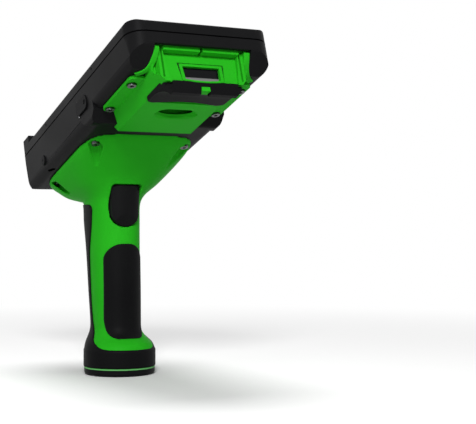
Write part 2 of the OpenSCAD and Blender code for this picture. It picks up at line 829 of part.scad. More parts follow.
// Circuit board on four posts of the lower shell
board_n = -cover_t - 11;
board_t = 1.6;
board_half = half_w - 13.5;
board_s = [bridge_len + 8, rear_len - 4];
board_screws_at = [for (x = [-1, 1], s = [board_s[0] + 5, board_s[1] - 7]) [x * (board_half - 6), s]];
module main_board() {
    color([0.04, 0.2, 0.1])
        on_head() {
            difference() {
                plan_prism(plate_points(-board_half, -board_s[1], board_half, -board_s[0], 3), board_n, board_n + board_t);
                at_points(board_screws_at, board_n - 1)
                    cylinder(r = screw_r + 0.2, h = board_t + 2);
            }
            box([-14, -70, board_n + board_t - eps], [14, -46, board_n + board_t + 3]);
            box([-24, -104, board_n + board_t - eps], [6, -84, board_n + board_t + 2]);
        }
}

board_screw_len = 7;
module board_screws() {
    color(steel)
        on_head()
            at_points(board_screws_at, board_n + board_t)
                screw(board_screw_len);
}

// Stations of the handle's skin from the foot to the head's flange.
// Each is [front y, front z, rear y, rear z, half width, squareness].
flange_front = [head_y - flange_s1 * cos(head_tilt) + n_rear * sin(head_tilt),
    head_z + flange_s1 * sin(head_tilt) + n_rear * cos(head_tilt)];
flange_rear = [head_y - (flange_s0 - 3) * cos(head_tilt) + n_rear * sin(head_tilt),
    head_z + (flange_s0 - 3) * sin(head_tilt) + n_rear * cos(head_tilt)];

// A station of the flare, as shares of the way from the neck to the flange
function flare(fy, fz, ry, rz, w, square) = [
    neck_st[0] + (flange_front[0] - neck_st[0]) * fy, neck_st[1] + (flange_front[1] - neck_st[1]) * fz,
    neck_st[2] + (flange_rear[0] - neck_st[2]) * ry, neck_st[3] + (flange_rear[1] - neck_st[3]) * rz,
    neck_st[4] + (flange_w / 2 - neck_st[4]) * w, square];

grip_h = neck_z - band_top;
stations = [
    [-toe_r, foot_z, toe_r, foot_z, toe_r, 2],
    [-toe_r, band_top - 2, toe_r, band_top - 2, toe_r, 2],
    [-toe_r + 0.8, band_top + 1, toe_r, band_top + 1, toe_r - 0.6, 2],
    [-toe_r + 2.7, band_top + 4.7, toe_r + 0.8, band_top + 4.7, toe_r - 2.2, 2],
    [-toe_r + 7.5, band_top + 8.7, toe_r + 1.6, band_top + 8.7, grip_w / 2 + 2.5, 2.1],
    level(band_top + 12.7, 0.43, -0.9, 0.2, 2.2),
    level(band_top + 18.7, 0.49, -1.9, -1.2, 2.2),
    level(band_top + grip_h * 0.39, 0.61, 0, 0, 2.2),
    level(band_top + grip_h * 0.67, 0.79, 3, 1, 2.2),
    level(band_top + grip_h * 0.87, 0.95, 6.6, 2.2, 2.2),
    neck_st,
    flare(0.06, 0.19, 0.42, 0.10, 0.14, 2.4),
    flare(0.23, 0.40, 0.86, 0.26, 0.46, 2.8),
    flare(0.58, 0.68, 1, 0.52, 0.80, 3.5),
    flare(0.89, 0.90, 1, 0.8, 0.97, 5),
    flare(1, 1, 1, 1, 1, 6)];
steps = 2;
ring_n = 40;
slice_t = 0.15;
last_ring = (len(stations) - 1) * steps;
neck_ring = 10 * steps;

// Smooth value through four neighbouring stations at the share t between the middle two
function smooth(a, b, c, d, t) =
    b + t * (c - a) / 2 + t * t * (a - 2.5 * b + 2 * c - d / 2) + t * t * t * (1.5 * b - 1.5 * c + (d - a) / 2);

// Station of ring i, between the listed stations
function ring(i) =
    let (m = len(stations) - 1, k = min(floor(i / steps), m - 1), t = i / steps - k)
    smooth(stations[max(k - 1, 0)], stations[k], stations[k + 1], stations[min(k + 2, m)], t);

// Signed power, for the rounded-square outline of a ring
function spow(v, e) = sign(v) * pow(abs(v), e);

// Thin slice of the handle's skin at ring i, grown by off
module slice(i, off) {
    r = ring(i);
    a = r[4] + off;
    b = norm([r[2] - r[0], r[3] - r[1]]) / 2 + off;
    translate([0, (r[0] + r[2]) / 2, (r[1] + r[3]) / 2])
        rotate([atan2(r[3] - r[1], r[2] - r[0]), 0, 0])
            linear_extrude(slice_t)
                polygon([for (q = [0:360 / ring_n:359])
                    [a * spow(cos(q), 2 / r[5]), b * spow(sin(q), 2 / r[5])]]);
}

// The handle's skin between two rings, grown by off
module skin(off, i0 = 0, i1 = last_ring) {
    for (i = [i0:i1 - 1])
        hull() {
            slice(i, off);
            slice(i + 1, off);
        }
}

// Prism along y from a front outline in (x, z), from y0 to y1
module front_cut(pts, y0, y1) {
    translate([0, y1, 0])
        rotate([90, 0, 0])
            linear_extrude(y1 - y0)
                polygon(pts);
}

// Outline of the front pad, grown by a gap
function pad_outline(gap) = rounded([
    [-pad_half + 1.2 - gap, pad_z0 - gap, 5], [pad_half - 1.2 + gap, pad_z0 - gap, 5],
    [pad_half + gap, pad_z0 + 12, 20], [pad_half + gap, pad_top + gap, 11],
    [-pad_half - gap, pad_top + gap, 11], [-pad_half - gap, pad_z0 + 12, 20]], 8);

// Shield outline of the trigger, grown by a gap
function trigger_outline(gap) = rounded([
    [-trigger_w / 2 - gap, trigger_top + gap, 2],
    [-trigger_w / 2 + 1.2 - gap, trigger_z0 - gap, trigger_w / 2 - 1.5 + gap],
    [trigger_w / 2 - 1.2 + gap, trigger_z0 - gap, trigger_w / 2 - 1.5 + gap],
    [trigger_w / 2 + gap, trigger_top + gap, 2]], 10);

// Side outline of the rear strip and foot band in (y, z), grown by a gap; it runs out past the back
module rear_region(gap) {
    top = neck_z - 0.4;
    translate([-50, 0, 0])
        rotate([90, 0, 90])
            linear_extrude(100)
                polygon(rounded([
                    [60, foot_z - 1, 0], [60, top + gap, 0],
                    [lean - 7 - gap, top + gap, 4], [lean - 6.2 - gap, neck_z - 14, 30],
                    [lean - 1.6 - gap, neck_z - 34, 30], [lean - 3.6 - gap, band_top + 28, 40],
                    [lean - 6 - gap, band_top + 16 + gap, 14], [-1 - gap, band_top + 7.5 + gap, 20],
                    [-14, band_top + 1.4 + gap, 20], [-60, band_top - 0.6 + gap, 0], [-60, foot_z - 1, 0]], 6));
}

// Recess in the skin for rubber of the full thickness
module rubber_bed(off) {
    difference() {
        children();
        skin(-rubber_t + rubber_proud - off, 0, neck_ring + 2);
    }
}

// Pieces of the trigger group take this room inside the handle
module trigger_room() {
    front_cut(trigger_outline(seam), -60, cage_y0 - 1);
    box([-cage_half - clear, cage_y0 - 2, cage_z0 - clear],
        [cage_half + clear, cage_y0 + cage_t + clear, trigger_top + 3]);
}

module handle_body() {
    color(green)
        difference() {
            skin(0);
            rubber_bed(0.1)
                front_cut(pad_outline(seam), -60, lean * 0.6);
            rubber_bed(0.1)
                rear_region(seam);
            difference() {
                skin(-neck_wall, neck_ring + 4);
                on_head()
                    for (p = flange_screws)
                        screw_scoop(p, 2);
            }
            trigger_room();
            translate([0, battery_y, 0])
                cylinder(r = battery_r + clear, h = battery_z1 + contact_h);
            cylinder(r = socket_r + 0.1, h = socket_top + 0.1);
            on_head() {
                at_points(flange_screws, n_rear - 0.1 - flange_t - screw_head_h - 0.6) {
                    cylinder(r = screw_head_r + 0.5, h = screw_head_h + 0.6);
                    cylinder(r = screw_r + 0.2, h = 9);
                }
                for (p = flange_screws)
                    screw_scoop(p, 0);
                plan_prism([[-99, -150], [99, -150], [99, 50], [-99, 50]], n_rear - 0.1, n_rear + 20);
            }
        }
}

// Tapered scoop below a flange screw that runs out on the neck, or the post round it when grown.
// The rear ones also open to the side
module screw_scoop(at, grow) {
    rear = at[1] < seat_s;
    seat_n = n_rear - 0.1 + (grow > 0 ? 3 : -flange_t);
    hull() {
        translate([at[0], -at[1], seat_n - eps])
            cylinder(r = screw_head_r + 1.6 + grow, h = eps, $fn = 32);
        translate([at[0] * (rear ? 0.87 : 0.8), -at[1] + (rear ? -6 : 14), n_rear - (rear ? 12 : 10.4)])
            cylinder(r = (rear ? 2.2 : 1) + grow, h = eps, $fn = 32);
        if (rear)
            translate([at[0] * 1.2, -at[1] - 8, n_rear - 6])
                cylinder(r = 2.5 + grow, h = eps, $fn = 32);
    }
}

flange_screw_len = 9;
module handle_screws() {
    color(steel)
        on_head()
            at_points(flange_screws, n_rear - 0.1 - flange_t)
                rotate([180, 0, 0])
                    screw(flange_screw_len);
}

module front_grip() {
    color(rubber)
        intersection() {
            rubber_bed(0)
                front_cut(pad_outline(0), -60, lean * 0.6);
            skin(rubber_proud, 2, neck_ring);
        }
}

module rear_grip() {
    color(rubber)
        intersection() {
            rubber_bed(0)
                rear_region(0);
            union() {
                skin(rubber_proud, 2, neck_ring + 2);
                translate([0, 0, foot_z + 0.05])
                    cylinder(r = foot_r, h = band_h - 0.05);
            }
        }
}

// Curved trigger with side skirts and a fork at its top for the post that carries the pin
module trigger() {
    front_r = 16;
    skirt = 1.8;
    color(rubber)
        difference() {
            intersection() {
                front_cut(trigger_outline(0), trigger_y0 - 1, trigger_back);
                translate([0, trigger_y0 + front_r, trigger_z0 - 1])
                    cylinder(r = front_r, h = trigger_len + 2);
                translate([-trigger_w, 0, 0])
                    rotate([90, 0, 90])
                        linear_extrude(2 * trigger_w)
                            polygon(rounded([
                                [trigger_y0 + 3.4, trigger_z0, 0], [trigger_back, trigger_z0, 0],
                                [trigger_back, trigger_top - 1.4, 0], [pivot[0], trigger_top - 1.4, 0],
                                [pivot[0], trigger_top, 0], [trigger_y0, trigger_top, 1],
                                [trigger_y0, trigger_z0 + 9, 14]]));
            }
            box([-post_half - 0.3, trigger_y0 + 2.6, pivot[1] - 5], [post_half + 0.3, trigger_back + 1, trigger_top + 1]);
            intersection() {
                front_cut(trigger_outline(-skirt), trigger_face, trigger_back + 1);
                box([-trigger_w, trigger_face, trigger_z0 - 1], [trigger_w, trigger_back + 1, pivot[1] - 5]);
            }
            translate([0, pivot[0], pivot[1]])
                rotate([0, 90, 0])
                    cylinder(r = trigger_pin_r + run_fit, h = 2 * trigger_w, center = true);
        }
}

pin_half = post_half + 5;
module trigger_pin() {
    color(steel)
        translate([0, pivot[0], pivot[1]])
            rotate([0, 90, 0])
                cylinder(r = trigger_pin_r, h = 2 * pin_half, center = true);
}

// Bracket in the handle with a post for the trigger's pin
module trigger_cage() {
    color(black)
        difference() {
            union() {
                box([-cage_half, cage_y0, cage_z0], [cage_half, cage_y0 + cage_t, trigger_top + 2]);
                box([-post_half, pivot[0], pivot[1] - 2.8], [post_half, cage_y0 + eps, pivot[1] + 2.8]);
                translate([0, pivot[0], pivot[1]])
                    rotate([0, 90, 0])
                        cylinder(r = 2.8, h = 2 * post_half, center = true);
            }
            translate([0, pivot[0], pivot[1]])
                rotate([0, 90, 0])
                    cylinder(r = trigger_pin_r + run_fit / 2, h = trigger_w, center = true);
        }
}

// Return spring: one helix along y from the cage to the back of the trigger
spring_turns = 6;
spring_y0 = trigger_face + 0.3;
spring_y1 = cage_y0 - 0.1;
spring_sides = 6;
spring_rings = 8;

// Point of the spring's centre line at ring i
function coil(i) =
    let (t = i / (spring_turns * spring_rings))
    [spring_r * cos(360 * i / spring_rings), spring_y0 + spring_wire + (spring_y1 - spring_y0 - 2 * spring_wire) * t,
        spring_z + spring_r * sin(360 * i / spring_rings)];

module trigger_spring() {
    m = spring_turns * spring_rings;
    pts = [for (i = [0:m], k = [0:spring_sides - 1])
        let (c = coil(i), out = unit([c[0], 0, c[2] - spring_z]), q = 360 * k / spring_sides)
        c + spring_wire * (out * cos(q) + [0, sin(q), 0])];
    sides = [for (i = [0:m - 1], k = [0:spring_sides - 1])
        let (a = i * spring_sides, j = (k + 1) % spring_sides)
        each [[a + k, a + spring_sides + j, a + j], [a + k, a + spring_sides + k, a + spring_sides + j]]];
    ends = [for (k = [1:spring_sides - 2])
        each [[0, k, k + 1], [m * spring_sides, m * spring_sides + k + 1, m * spring_sides + k]]];
    color(steel)
        polyhedron(pts, concat(sides, ends));
}

// Micro switch on the cage, its plunger towards the trigger
module trigger_switch() {
    press = trigger_face + tan(trigger_pull) * (pivot[1] - switch_z) + 0.4;
    color(black) {
        box([-5, cage_y0 - 5.5, switch_z - 3.2], [5, cage_y0 - 0.05, switch_z + 3.2]);
        translate([0, cage_y0 - 5, switch_z])
            rotate([90, 0, 0])
                cylinder(r = 1.4, h = cage_y0 - 5 - press);
    }
}

module battery_pack() {
    color([0.12, 0.2, 0.35])
        translate([0, battery_y, battery_z0])
            union() {
                cylinder(r = battery_r, h = battery_len - 1);
                translate([0, 0, battery_len - 1 - eps])
                    cylinder(r = 3, h = 0.9);
            }
}

module battery_contacts() {
    color([0.75, 0.6, 0.3])
        translate([0, battery_y, battery_z1])
            difference() {
                cylinder(r = battery_r, h = contact_h - 0.1);
                translate([0, 0, -1])
                    cylinder(r = battery_r - 2, h = 2.2);
            }
}

// Ring in the foot whose slots and groove hold the cap's two lugs
module foot_socket() {
    lead = 2;
    color(black)
        difference() {
            translate([0, 0, foot_z])
                cylinder(r = socket_r, h = socket_top - foot_z);
            translate([0, 0, foot_z - 1])
                cylinder(r = cap_neck_r + clear, h = 30);
            for (start = [90, 270]) {
                rotate([0, 0, start - lug_w / 2 - lead])
                    rotate_extrude(angle = lug_w + cap_turn + 2 * lead)
                        translate([cap_neck_r - 1, lug_z0 - 0.3])
                            square([lug_r - cap_neck_r + 1.5, lug_z1 - lug_z0 + 0.6]);
                rotate([0, 0, start + cap_turn - lug_w / 2 - lead + 0.5])
                    rotate_extrude(angle = lug_w + 2 * lead - 1)
                        translate([cap_neck_r - 1, foot_z - 1])
                            square([lug_r - cap_neck_r + 1.3, lug_z0 - foot_z + 1.5]);
            }
        }
}

// Turning cap: a rounded foot with a hollow neck, two lugs and a finger bar in its underside
module base_cap() {
    round = 2.4;
    color(rubber)
        difference() {
            union() {
                rotate_extrude()
                    polygon(concat([[0, 0]],
                        [for (a = [-90:15:0]) [toe_r - round + round * cos(a), round + round * sin(a)]],
                        [[toe_r, cap_h], [0, cap_h]]));
                cylinder(r = cap_neck_r, h = cap_h + cap_neck_h);
                for (start = [90, 270])
                    rotate([0, 0, start - lug_w / 2])
                        rotate_extrude(angle = lug_w)
                            translate([cap_neck_r - 1, lug_z0])
                                square([lug_r - cap_neck_r + 1, lug_z1 - lug_z0]);
            }
            translate([0, 0, cap_h])
                cylinder(r = cap_neck_r - 2.4, h = 30);
            difference() {
                translate([0, 0, -1])
                    cylinder(r = cap_neck_r - 1, h = 2.8);
                box([-4, -foot_r, -2], [4, foot_r, cap_h]);
            }
        }
}

module cap_seal() {
    color([0.25, 0.65, 0.25])
        translate([0, 0, cap_h + 0.05])
            difference() {
                cylinder(r = toe_r - 0.1, h = seal_t - 0.1);
                translate([0, 0, -1])
                    cylinder(r = socket_r - 2, h = seal_t + 2);
            }
}

top_cover();
face_plate();
rear_inlay();
cover_screws();
screw_seals();
cover_gasket();
lower_shell();
nose_housing();
scan_window();
chin_bumper();
nose_screws();
scan_engine();
engine_bracket();
main_board();
board_screws();
handle_body();
handle_screws();
front_grip();
rear_grip();
trigger();
trigger_pin();
trigger_spring();
trigger_switch();
trigger_cage();
battery_pack();
battery_contacts();
foot_socket();
base_cap();
cap_seal();
port_door();
port_door_pin();
port_socket();
vent_plug();
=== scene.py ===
# %% [markdown]
# A pistol-grip scanner, dressed for the camera
#
# The object is a flat black head tilted up on a vivid green handle. Black rubber pads sit in the handle, a
# green nose with a scan window hangs under the head, and a round cap closes the foot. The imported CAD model
# gives every piece its size and place. This lesson loads it, adds finer skins where the solids are only
# faceted, and gives each piece its finish. Blender works in metres. Most sizes are written in millimetres
# here, and MM turns them into metres.

# %% Load the frame
import json
import math

import bmesh
import bpy
from mathutils import Matrix, Vector


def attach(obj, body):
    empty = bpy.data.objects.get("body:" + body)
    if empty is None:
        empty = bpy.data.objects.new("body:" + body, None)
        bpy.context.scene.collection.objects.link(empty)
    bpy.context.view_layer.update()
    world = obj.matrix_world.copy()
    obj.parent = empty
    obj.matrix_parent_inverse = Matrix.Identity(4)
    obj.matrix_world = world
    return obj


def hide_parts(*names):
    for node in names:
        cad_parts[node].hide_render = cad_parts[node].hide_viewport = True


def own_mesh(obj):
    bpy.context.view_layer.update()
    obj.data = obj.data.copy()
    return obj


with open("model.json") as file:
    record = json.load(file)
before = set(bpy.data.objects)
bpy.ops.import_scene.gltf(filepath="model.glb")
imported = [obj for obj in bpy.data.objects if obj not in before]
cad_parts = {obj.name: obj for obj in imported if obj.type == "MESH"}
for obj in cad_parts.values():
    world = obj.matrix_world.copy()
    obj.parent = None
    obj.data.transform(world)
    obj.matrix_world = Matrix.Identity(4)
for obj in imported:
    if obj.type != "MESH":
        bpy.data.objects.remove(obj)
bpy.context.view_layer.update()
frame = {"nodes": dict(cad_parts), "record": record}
nodes = frame["nodes"]
scene = bpy.context.scene
MM = 0.001

# %% [markdown]
# Places on the tilted head
#
# The head leans back on the handle, so a point on it is awkward to give along the world's axes. Here s runs
# along the head from its rear end to its front, and n along its normal, with zero at the cover's flat top.
# One helper turns such a point into the world's axes, one does so for a direction, and one turns a whole
# piece with the head.

# %% Places on the head
TILT = math.radians(18.8)
HEAD_Y, HEAD_Z, HEAD_LEN = 74.737, 157.242, 212.5
HEAD_TURN = Matrix.Rotation(-TILT, 4, "X")


def on_head(x, s, n):
    """The point at x, s, n of the head, along the world's axes and in millimetres."""
    y = HEAD_Y - s * math.cos(TILT) + n * math.sin(TILT)
    return Vector((x, y, HEAD_Z + s * math.sin(TILT) + n * math.cos(TILT)))


def head_direction(x, s, n):
    """A direction given along the head, turned into the world's axes."""
    return on_head(x, s, n) - on_head(0, 0, 0)


def head_matrix(x, s, n):
    """Puts a piece in metres at a point of the head and turns it with the head."""
    return Matrix.Translation(on_head(x, s, n) * MM) @ HEAD_TURN


print("head front at", [round(v, 1) for v in on_head(0, HEAD_LEN, 0)])

# %% [markdown]
# The camera
#
# The picture was taken from low down on the object's left front, with a long lens, so that the underside of
# the tilted head shows. A camera that stands where that lens stood sees the object as the picture does, so
# it comes first. The lens follows from the focal length in pixels and the picture's width.

# %% Camera
IMAGE_W, FOCAL_PX, SENSOR_MM = 476, 1204.86, 36
CAMERA_AT = Vector((-326.2, -780.2, 103.6)) * MM
LOOK_ALONG = Vector((0.474, 0.8805, 0.0105))

camera_data = bpy.data.cameras.new("camera")
camera_data.sensor_width = SENSOR_MM
camera_data.sensor_fit = "HORIZONTAL"
camera_data.lens = FOCAL_PX / IMAGE_W * SENSOR_MM
camera_data.clip_start = 0.01
camera = bpy.data.objects.new("camera", camera_data)
camera.location = CAMERA_AT
camera.rotation_euler = LOOK_ALONG.to_track_quat("-Z", "Y").to_euler()
scene.collection.objects.link(camera)
scene.camera = camera
print("lens: %.1f mm" % camera_data.lens)

# %% [markdown]
# The lamps
#
# The object stands on a white sweep under large soft boxes. A sun or a point lamp would draw hard edges on
# it, while broad area lamps give the satin plastics long, soft highlights. A lamp shines along its own -Z
# axis, so each one is turned until that axis runs from the lamp to the object.

# %% Lamps
AIM = Vector((0, -0.03, 0.12))


def soft_box(name, place, size, watts):
    """A round area lamp that faces the object. Place and size are in metres."""
    data = bpy.data.lights.new(name, "AREA")
    data.shape = "DISK"
    data.size = size
    data.energy = watts
    lamp = bpy.data.objects.new(name, data)
    lamp.location = place
    lamp.rotation_euler = (AIM - Vector(place)).to_track_quat("-Z", "Y").to_euler()
    scene.collection.objects.link(lamp)


soft_box("key", (-0.50, -1.05, 0.74), size=0.3, watts=13.5)
soft_box("left_fill", (-1.1, -0.2, 0.35), size=0.7, watts=0.9)
soft_box("top", (0.0, 0.15, 1.35), size=0.6, watts=10.0)
print("lamps:", len(bpy.data.lights))

# %% [markdown]
# The white surroundings
#
# A white backdrop could be had with more light, but that would bleach the object. So the world is dim for the
# rays that light the object, and plain white for the camera and for rays that were mirrored or bent. Light
# Path tells these rays apart, and the largest of three of its values is 1 for any ray that should see white.

# %% World
WORLD_LIGHT, WORLD_SEEN = 0.15, 1.0


def math_node(tree, operation, first, second):
    """Joins two values by an operation such as MAXIMUM or MULTIPLY."""
    node = tree.nodes.new("ShaderNodeMath")
    node.operation = operation
    tree.links.new(first, node.inputs[0])
    tree.links.new(second, node.inputs[1])
    return node.outputs[0]


def seen_directly(tree):
    """A value of 1 for rays from the camera, a mirror or a glass, and 0 for rays that carry light."""
    path = tree.nodes.new("ShaderNodeLightPath").outputs
    seen = math_node(tree, "MAXIMUM", path["Is Camera Ray"], path["Is Glossy Ray"])
    return math_node(tree, "MAXIMUM", seen, path["Is Transmission Ray"])


world = bpy.data.worlds.new("studio")
scene.world = world
world.use_nodes = True
tree = world.node_tree
tree.nodes.clear()
end = tree.nodes.new("ShaderNodeOutputWorld")
choice = tree.nodes.new("ShaderNodeMixShader")
tree.links.new(seen_directly(tree), choice.inputs["Fac"])
for socket, strength in ((1, WORLD_LIGHT), (2, WORLD_SEEN)):
    glow = tree.nodes.new("ShaderNodeBackground")
    glow.inputs["Color"].default_value = (1, 1, 1, 1)
    glow.inputs["Strength"].default_value = strength
    tree.links.new(glow.outputs[0], choice.inputs[socket])
tree.links.new(choice.outputs[0], end.inputs["Surface"])
scene.view_settings.view_transform = "Standard"
print("world light:", WORLD_LIGHT)

# %% [markdown]
# The floor
#
# The floor is a real surface, so it keeps the soft shadow round the foot and throws light back up under the
# head. Its paper asks the same question as the world: it shows as white, but bounces a little less. Far from
# the object it fades into the white of the world, so that no edge and no horizon shows.

# %% Floor paper
FLOOR_BOUNCE, FLOOR_SEEN = (0.58, 0.58, 0.58), (1, 1, 1)
FADE_FROM, FADE_TO = 0.12, 0.75


def blend_colours(tree, mask, first, second):
    """Mixes two colours by a mask. The first may also come from another node."""
    mix = tree.nodes.new("ShaderNodeMix")
    mix.data_type = "RGBA"
    tree.links.new(mask, mix.inputs["Factor"])
    if isinstance(first, bpy.types.NodeSocket):
        tree.links.new(first, mix.inputs["A"])
    else:
        mix.inputs["A"].default_value = (*first, 1)
    mix.inputs["B"].default_value = (*second, 1)
    return mix.outputs["Result"]


def stretch(tree, value, start=0.0, full=1.0, low=0.0, high=1.0):
    """A node that turns start into low and full into high, and stops at both."""
    node = tree.nodes.new("ShaderNodeMapRange")
    for socket, number in (("From Min", start), ("From Max", full), ("To Min", low), ("To Max", high)):
        node.inputs[socket].default_value = number
    tree.links.new(value, node.inputs["Value"])
    return node


paper = bpy.data.materials.new("floor_paper")
paper.use_nodes = True
tree = paper.node_tree
make, link = tree.nodes.new, tree.links.new
shader = tree.nodes["Principled BSDF"]
shader.inputs["Roughness"].default_value = 0.8
shader.inputs["Specular IOR Level"].default_value = 0.0
seen = seen_directly(tree)
link(blend_colours(tree, seen, FLOOR_BOUNCE, FLOOR_SEEN), shader.inputs["Base Color"])
place, reach = make("ShaderNodeTexCoord"), make("ShaderNodeVectorMath")
reach.operation = "LENGTH"
link(place.outputs["Object"], reach.inputs[0])
fade = stretch(tree, reach.outputs["Value"], FADE_FROM, FADE_TO)
fade.interpolation_type = "SMOOTHSTEP"
plain, join = make("ShaderNodeEmission"), make("ShaderNodeMixShader")
plain.inputs["Color"].default_value = (1, 1, 1, 1)
link(math_node(tree, "MULTIPLY", fade.outputs["Result"], seen), join.inputs["Fac"])
link(shader.outputs[0], join.inputs[1])
link(plain.outputs[0], join.inputs[2])
link(join.outputs[0], tree.nodes["Material Output"].inputs["Surface"])
print("floor paper nodes:", len(tree.nodes))

# %% Floor
FLOOR_HALF = 6.0


def as_object(name, bm, material):
    """Turns a bmesh into an object with one material and puts it into the scene."""
    mesh = bpy.data.meshes.new(name)
    bm.to_mesh(mesh)
    bm.free()
    obj = bpy.data.objects.new(name, mesh)
    mesh.materials.append(material)
    scene.collection.objects.link(obj)
    return obj


bm = bmesh.new()
bmesh.ops.create_grid(bm, x_segments=1, y_segments=1, size=FLOOR_HALF)
floor = as_object("floor", bm, paper)
print("floor: %.0f m across" % (2 * FLOOR_HALF))

# %% [markdown]
# Shared surface effects
#
# Moulded plastic is never one flat colour. The mould leaves a fine spark-eroded grain, and handling polishes
# some patches more than others. Raised edges are lightened as well, partly as wear and partly as a painted
# highlight. These effects are wanted on several finishes, so they come in node groups with named sockets that
# are built once. A group gives only masks and heights, and each material decides what to do with them.

# %% Grain of a moulded or rubbery skin
PATCH_FROM, PATCH_TO = 0.3, 0.7


def new_group(name, inputs, outputs):
    """A shader group with named values, and the nodes at its two ends."""
    group = bpy.data.node_groups.new(name, "ShaderNodeTree")
    for socket, value in inputs:
        made = group.interface.new_socket(socket, in_out="INPUT", socket_type="NodeSocketFloat")
        made.default_value = value
    for socket in outputs:
        group.interface.new_socket(socket, in_out="OUTPUT", socket_type="NodeSocketFloat")
    return group, group.nodes.new("NodeGroupInput"), group.nodes.new("NodeGroupOutput")


def noise_in(group, entry, scale_socket, detail):
    """A noise on Object coordinates, whose scale is one of the group's inputs."""
    coords = group.nodes.new("ShaderNodeTexCoord")
    noise = group.nodes.new("ShaderNodeTexNoise")
    noise.inputs["Detail"].default_value = detail
    group.links.new(coords.outputs["Object"], noise.inputs["Vector"])
    group.links.new(entry.outputs[scale_socket], noise.inputs["Scale"])
    return noise.outputs["Fac"]


grain, grain_in, grain_out = new_group("moulded_grain", [("Scale", 1500.0), ("Patch Scale", 25.0)],
                                       ["Height", "Patch"])
fine = noise_in(grain, grain_in, "Scale", 2.0)
spread = stretch(grain, noise_in(grain, grain_in, "Patch Scale", 4.0), PATCH_FROM, PATCH_TO)
grain.links.new(fine, grain_out.inputs["Height"])
grain.links.new(spread.outputs["Result"], grain_out.inputs["Patch"])
print("group:", grain.name, "with", [socket.name for socket in grain_out.inputs if socket.name])

# %% Wear and painted highlight along raised edges
# Pointiness is 0.5 on a flat face and grows with the sharpness of an edge, where hands and tables rub. The
# mask lightens such edges, partly as wear and partly as a painted highlight of their gloss.
wear_and_sheen, wear_and_sheen_in, wear_and_sheen_out = new_group("edge_wear_and_sheen", [("Start", 0.53), ("Full", 0.62), ("Break Up", 180.0)], ["Mask"])
geometry = wear_and_sheen.nodes.new("ShaderNodeNewGeometry")
sharp = stretch(wear_and_sheen, geometry.outputs["Pointiness"])
wear_and_sheen.links.new(wear_and_sheen_in.outputs["Start"], sharp.inputs["From Min"])
wear_and_sheen.links.new(wear_and_sheen_in.outputs["Full"], sharp.inputs["From Max"])
broken = noise_in(wear_and_sheen, wear_and_sheen_in, "Break Up", 3.0)
wear_and_sheen.links.new(math_node(wear_and_sheen, "MULTIPLY", sharp.outputs["Result"], broken), wear_and_sheen_out.inputs["Mask"])
print("group:", wear_and_sheen.name, "with", [socket.name for socket in wear_and_sheen_out.inputs if socket.name])

# %% [markdown]
# The finishes
#
# There are few materials here, but each has its own surface. The green and black plastics are satin mouldings,
# the rubber is duller with a coarser skin, and the plate and the screws are metal. One helper wires them all:
# a patch mask swings the colour a little and the roughness a little more, the fine height goes to a bump, and
# the edge mask lightens raised edges, as wear and as a painted highlight. That mask is worked out point by
# point, so only the handle and its pads, which have an even, dense mesh, use it.

# %% Green plastic
BUMP = 0.5


def place_group(tree, group):
    """Puts a node group into a material."""
    node = tree.nodes.new("ShaderNodeGroup")
    node.node_tree = group
    return node


def finish(name, low, high, rough, grain_scale, grain_depth, metallic=0.0, specular=0.5, wear_and_sheen_colour=None):
    """A material between two colours and two roughnesses, with wear and painted highlight on edges."""
    material = bpy.data.materials.new(name)
    material.use_nodes = True
    tree = material.node_tree
    shader = tree.nodes["Principled BSDF"]
    shader.inputs["Metallic"].default_value = metallic
    shader.inputs["Specular IOR Level"].default_value = specular
    surface = place_group(tree, grain)
    surface.inputs["Scale"].default_value = grain_scale
    colour = blend_colours(tree, surface.outputs["Patch"], low, high)
    # Lighter edges: partly wear, partly a painted highlight of the gloss on edges
    if wear_and_sheen_colour:
        colour = blend_colours(tree, place_group(tree, wear_and_sheen).outputs["Mask"], colour, wear_and_sheen_colour)
    tree.links.new(colour, shader.inputs["Base Color"])
    polish = stretch(tree, surface.outputs["Patch"], low=rough[0], high=rough[1])
    tree.links.new(polish.outputs["Result"], shader.inputs["Roughness"])
    bump = tree.nodes.new("ShaderNodeBump")
    bump.inputs["Strength"].default_value = BUMP
    bump.inputs["Distance"].default_value = grain_depth * MM
    tree.links.new(surface.outputs["Height"], bump.inputs["Height"])
    tree.links.new(bump.outputs["Normal"], shader.inputs["Normal"])
    return material


GREEN = ((0.018, 0.400, 0.012), (0.023, 0.440, 0.015), (0.40, 0.48), 1400, 0.03)
green_plastic = finish("green_plastic", *GREEN, specular=0.02)
# The last colour lightens the grip's edges, partly as wear and partly as a painted highlight
green_grip = finish("green_grip", *GREEN, specular=0.02, wear_and_sheen_colour=(0.05, 0.52, 0.035))
print("green:", green_plastic.name, green_grip.name)

# %% Black plastic and rubber
RUBBER = ((0.004, 0.004, 0.0045), (0.006, 0.006, 0.0065), (0.48, 0.60), 1000, 0.05)
black_plastic = finish("black_plastic", (0.006, 0.006, 0.0065), (0.008, 0.008, 0.0085), (0.36, 0.46),
                       1400, 0.03, specular=0.035)
black_rubber = finish("black_rubber", *RUBBER, specular=0.04)
# The last colour lightens the pads' edges, partly as wear and partly as a painted highlight
grip_rubber = finish("grip_rubber", *RUBBER, specular=0.04, wear_and_sheen_colour=(0.016, 0.016, 0.017))
# A near-black for painted shadow: the shade in the head's seam and in the slot of the shell's edge
painted_shadow_black = finish("painted_shadow_black", (0.0006, 0.0006, 0.0007), (0.001, 0.001, 0.0011), (0.7, 0.8),
                    1000, 0.02, specular=0.0)
green_seal = finish("green_seal", (0.10, 0.46, 0.10), (0.13, 0.50, 0.13), (0.5, 0.6), 1400, 0.02)
print("black:", black_plastic.name, black_rubber.name, grip_rubber.name, painted_shadow_black.name)

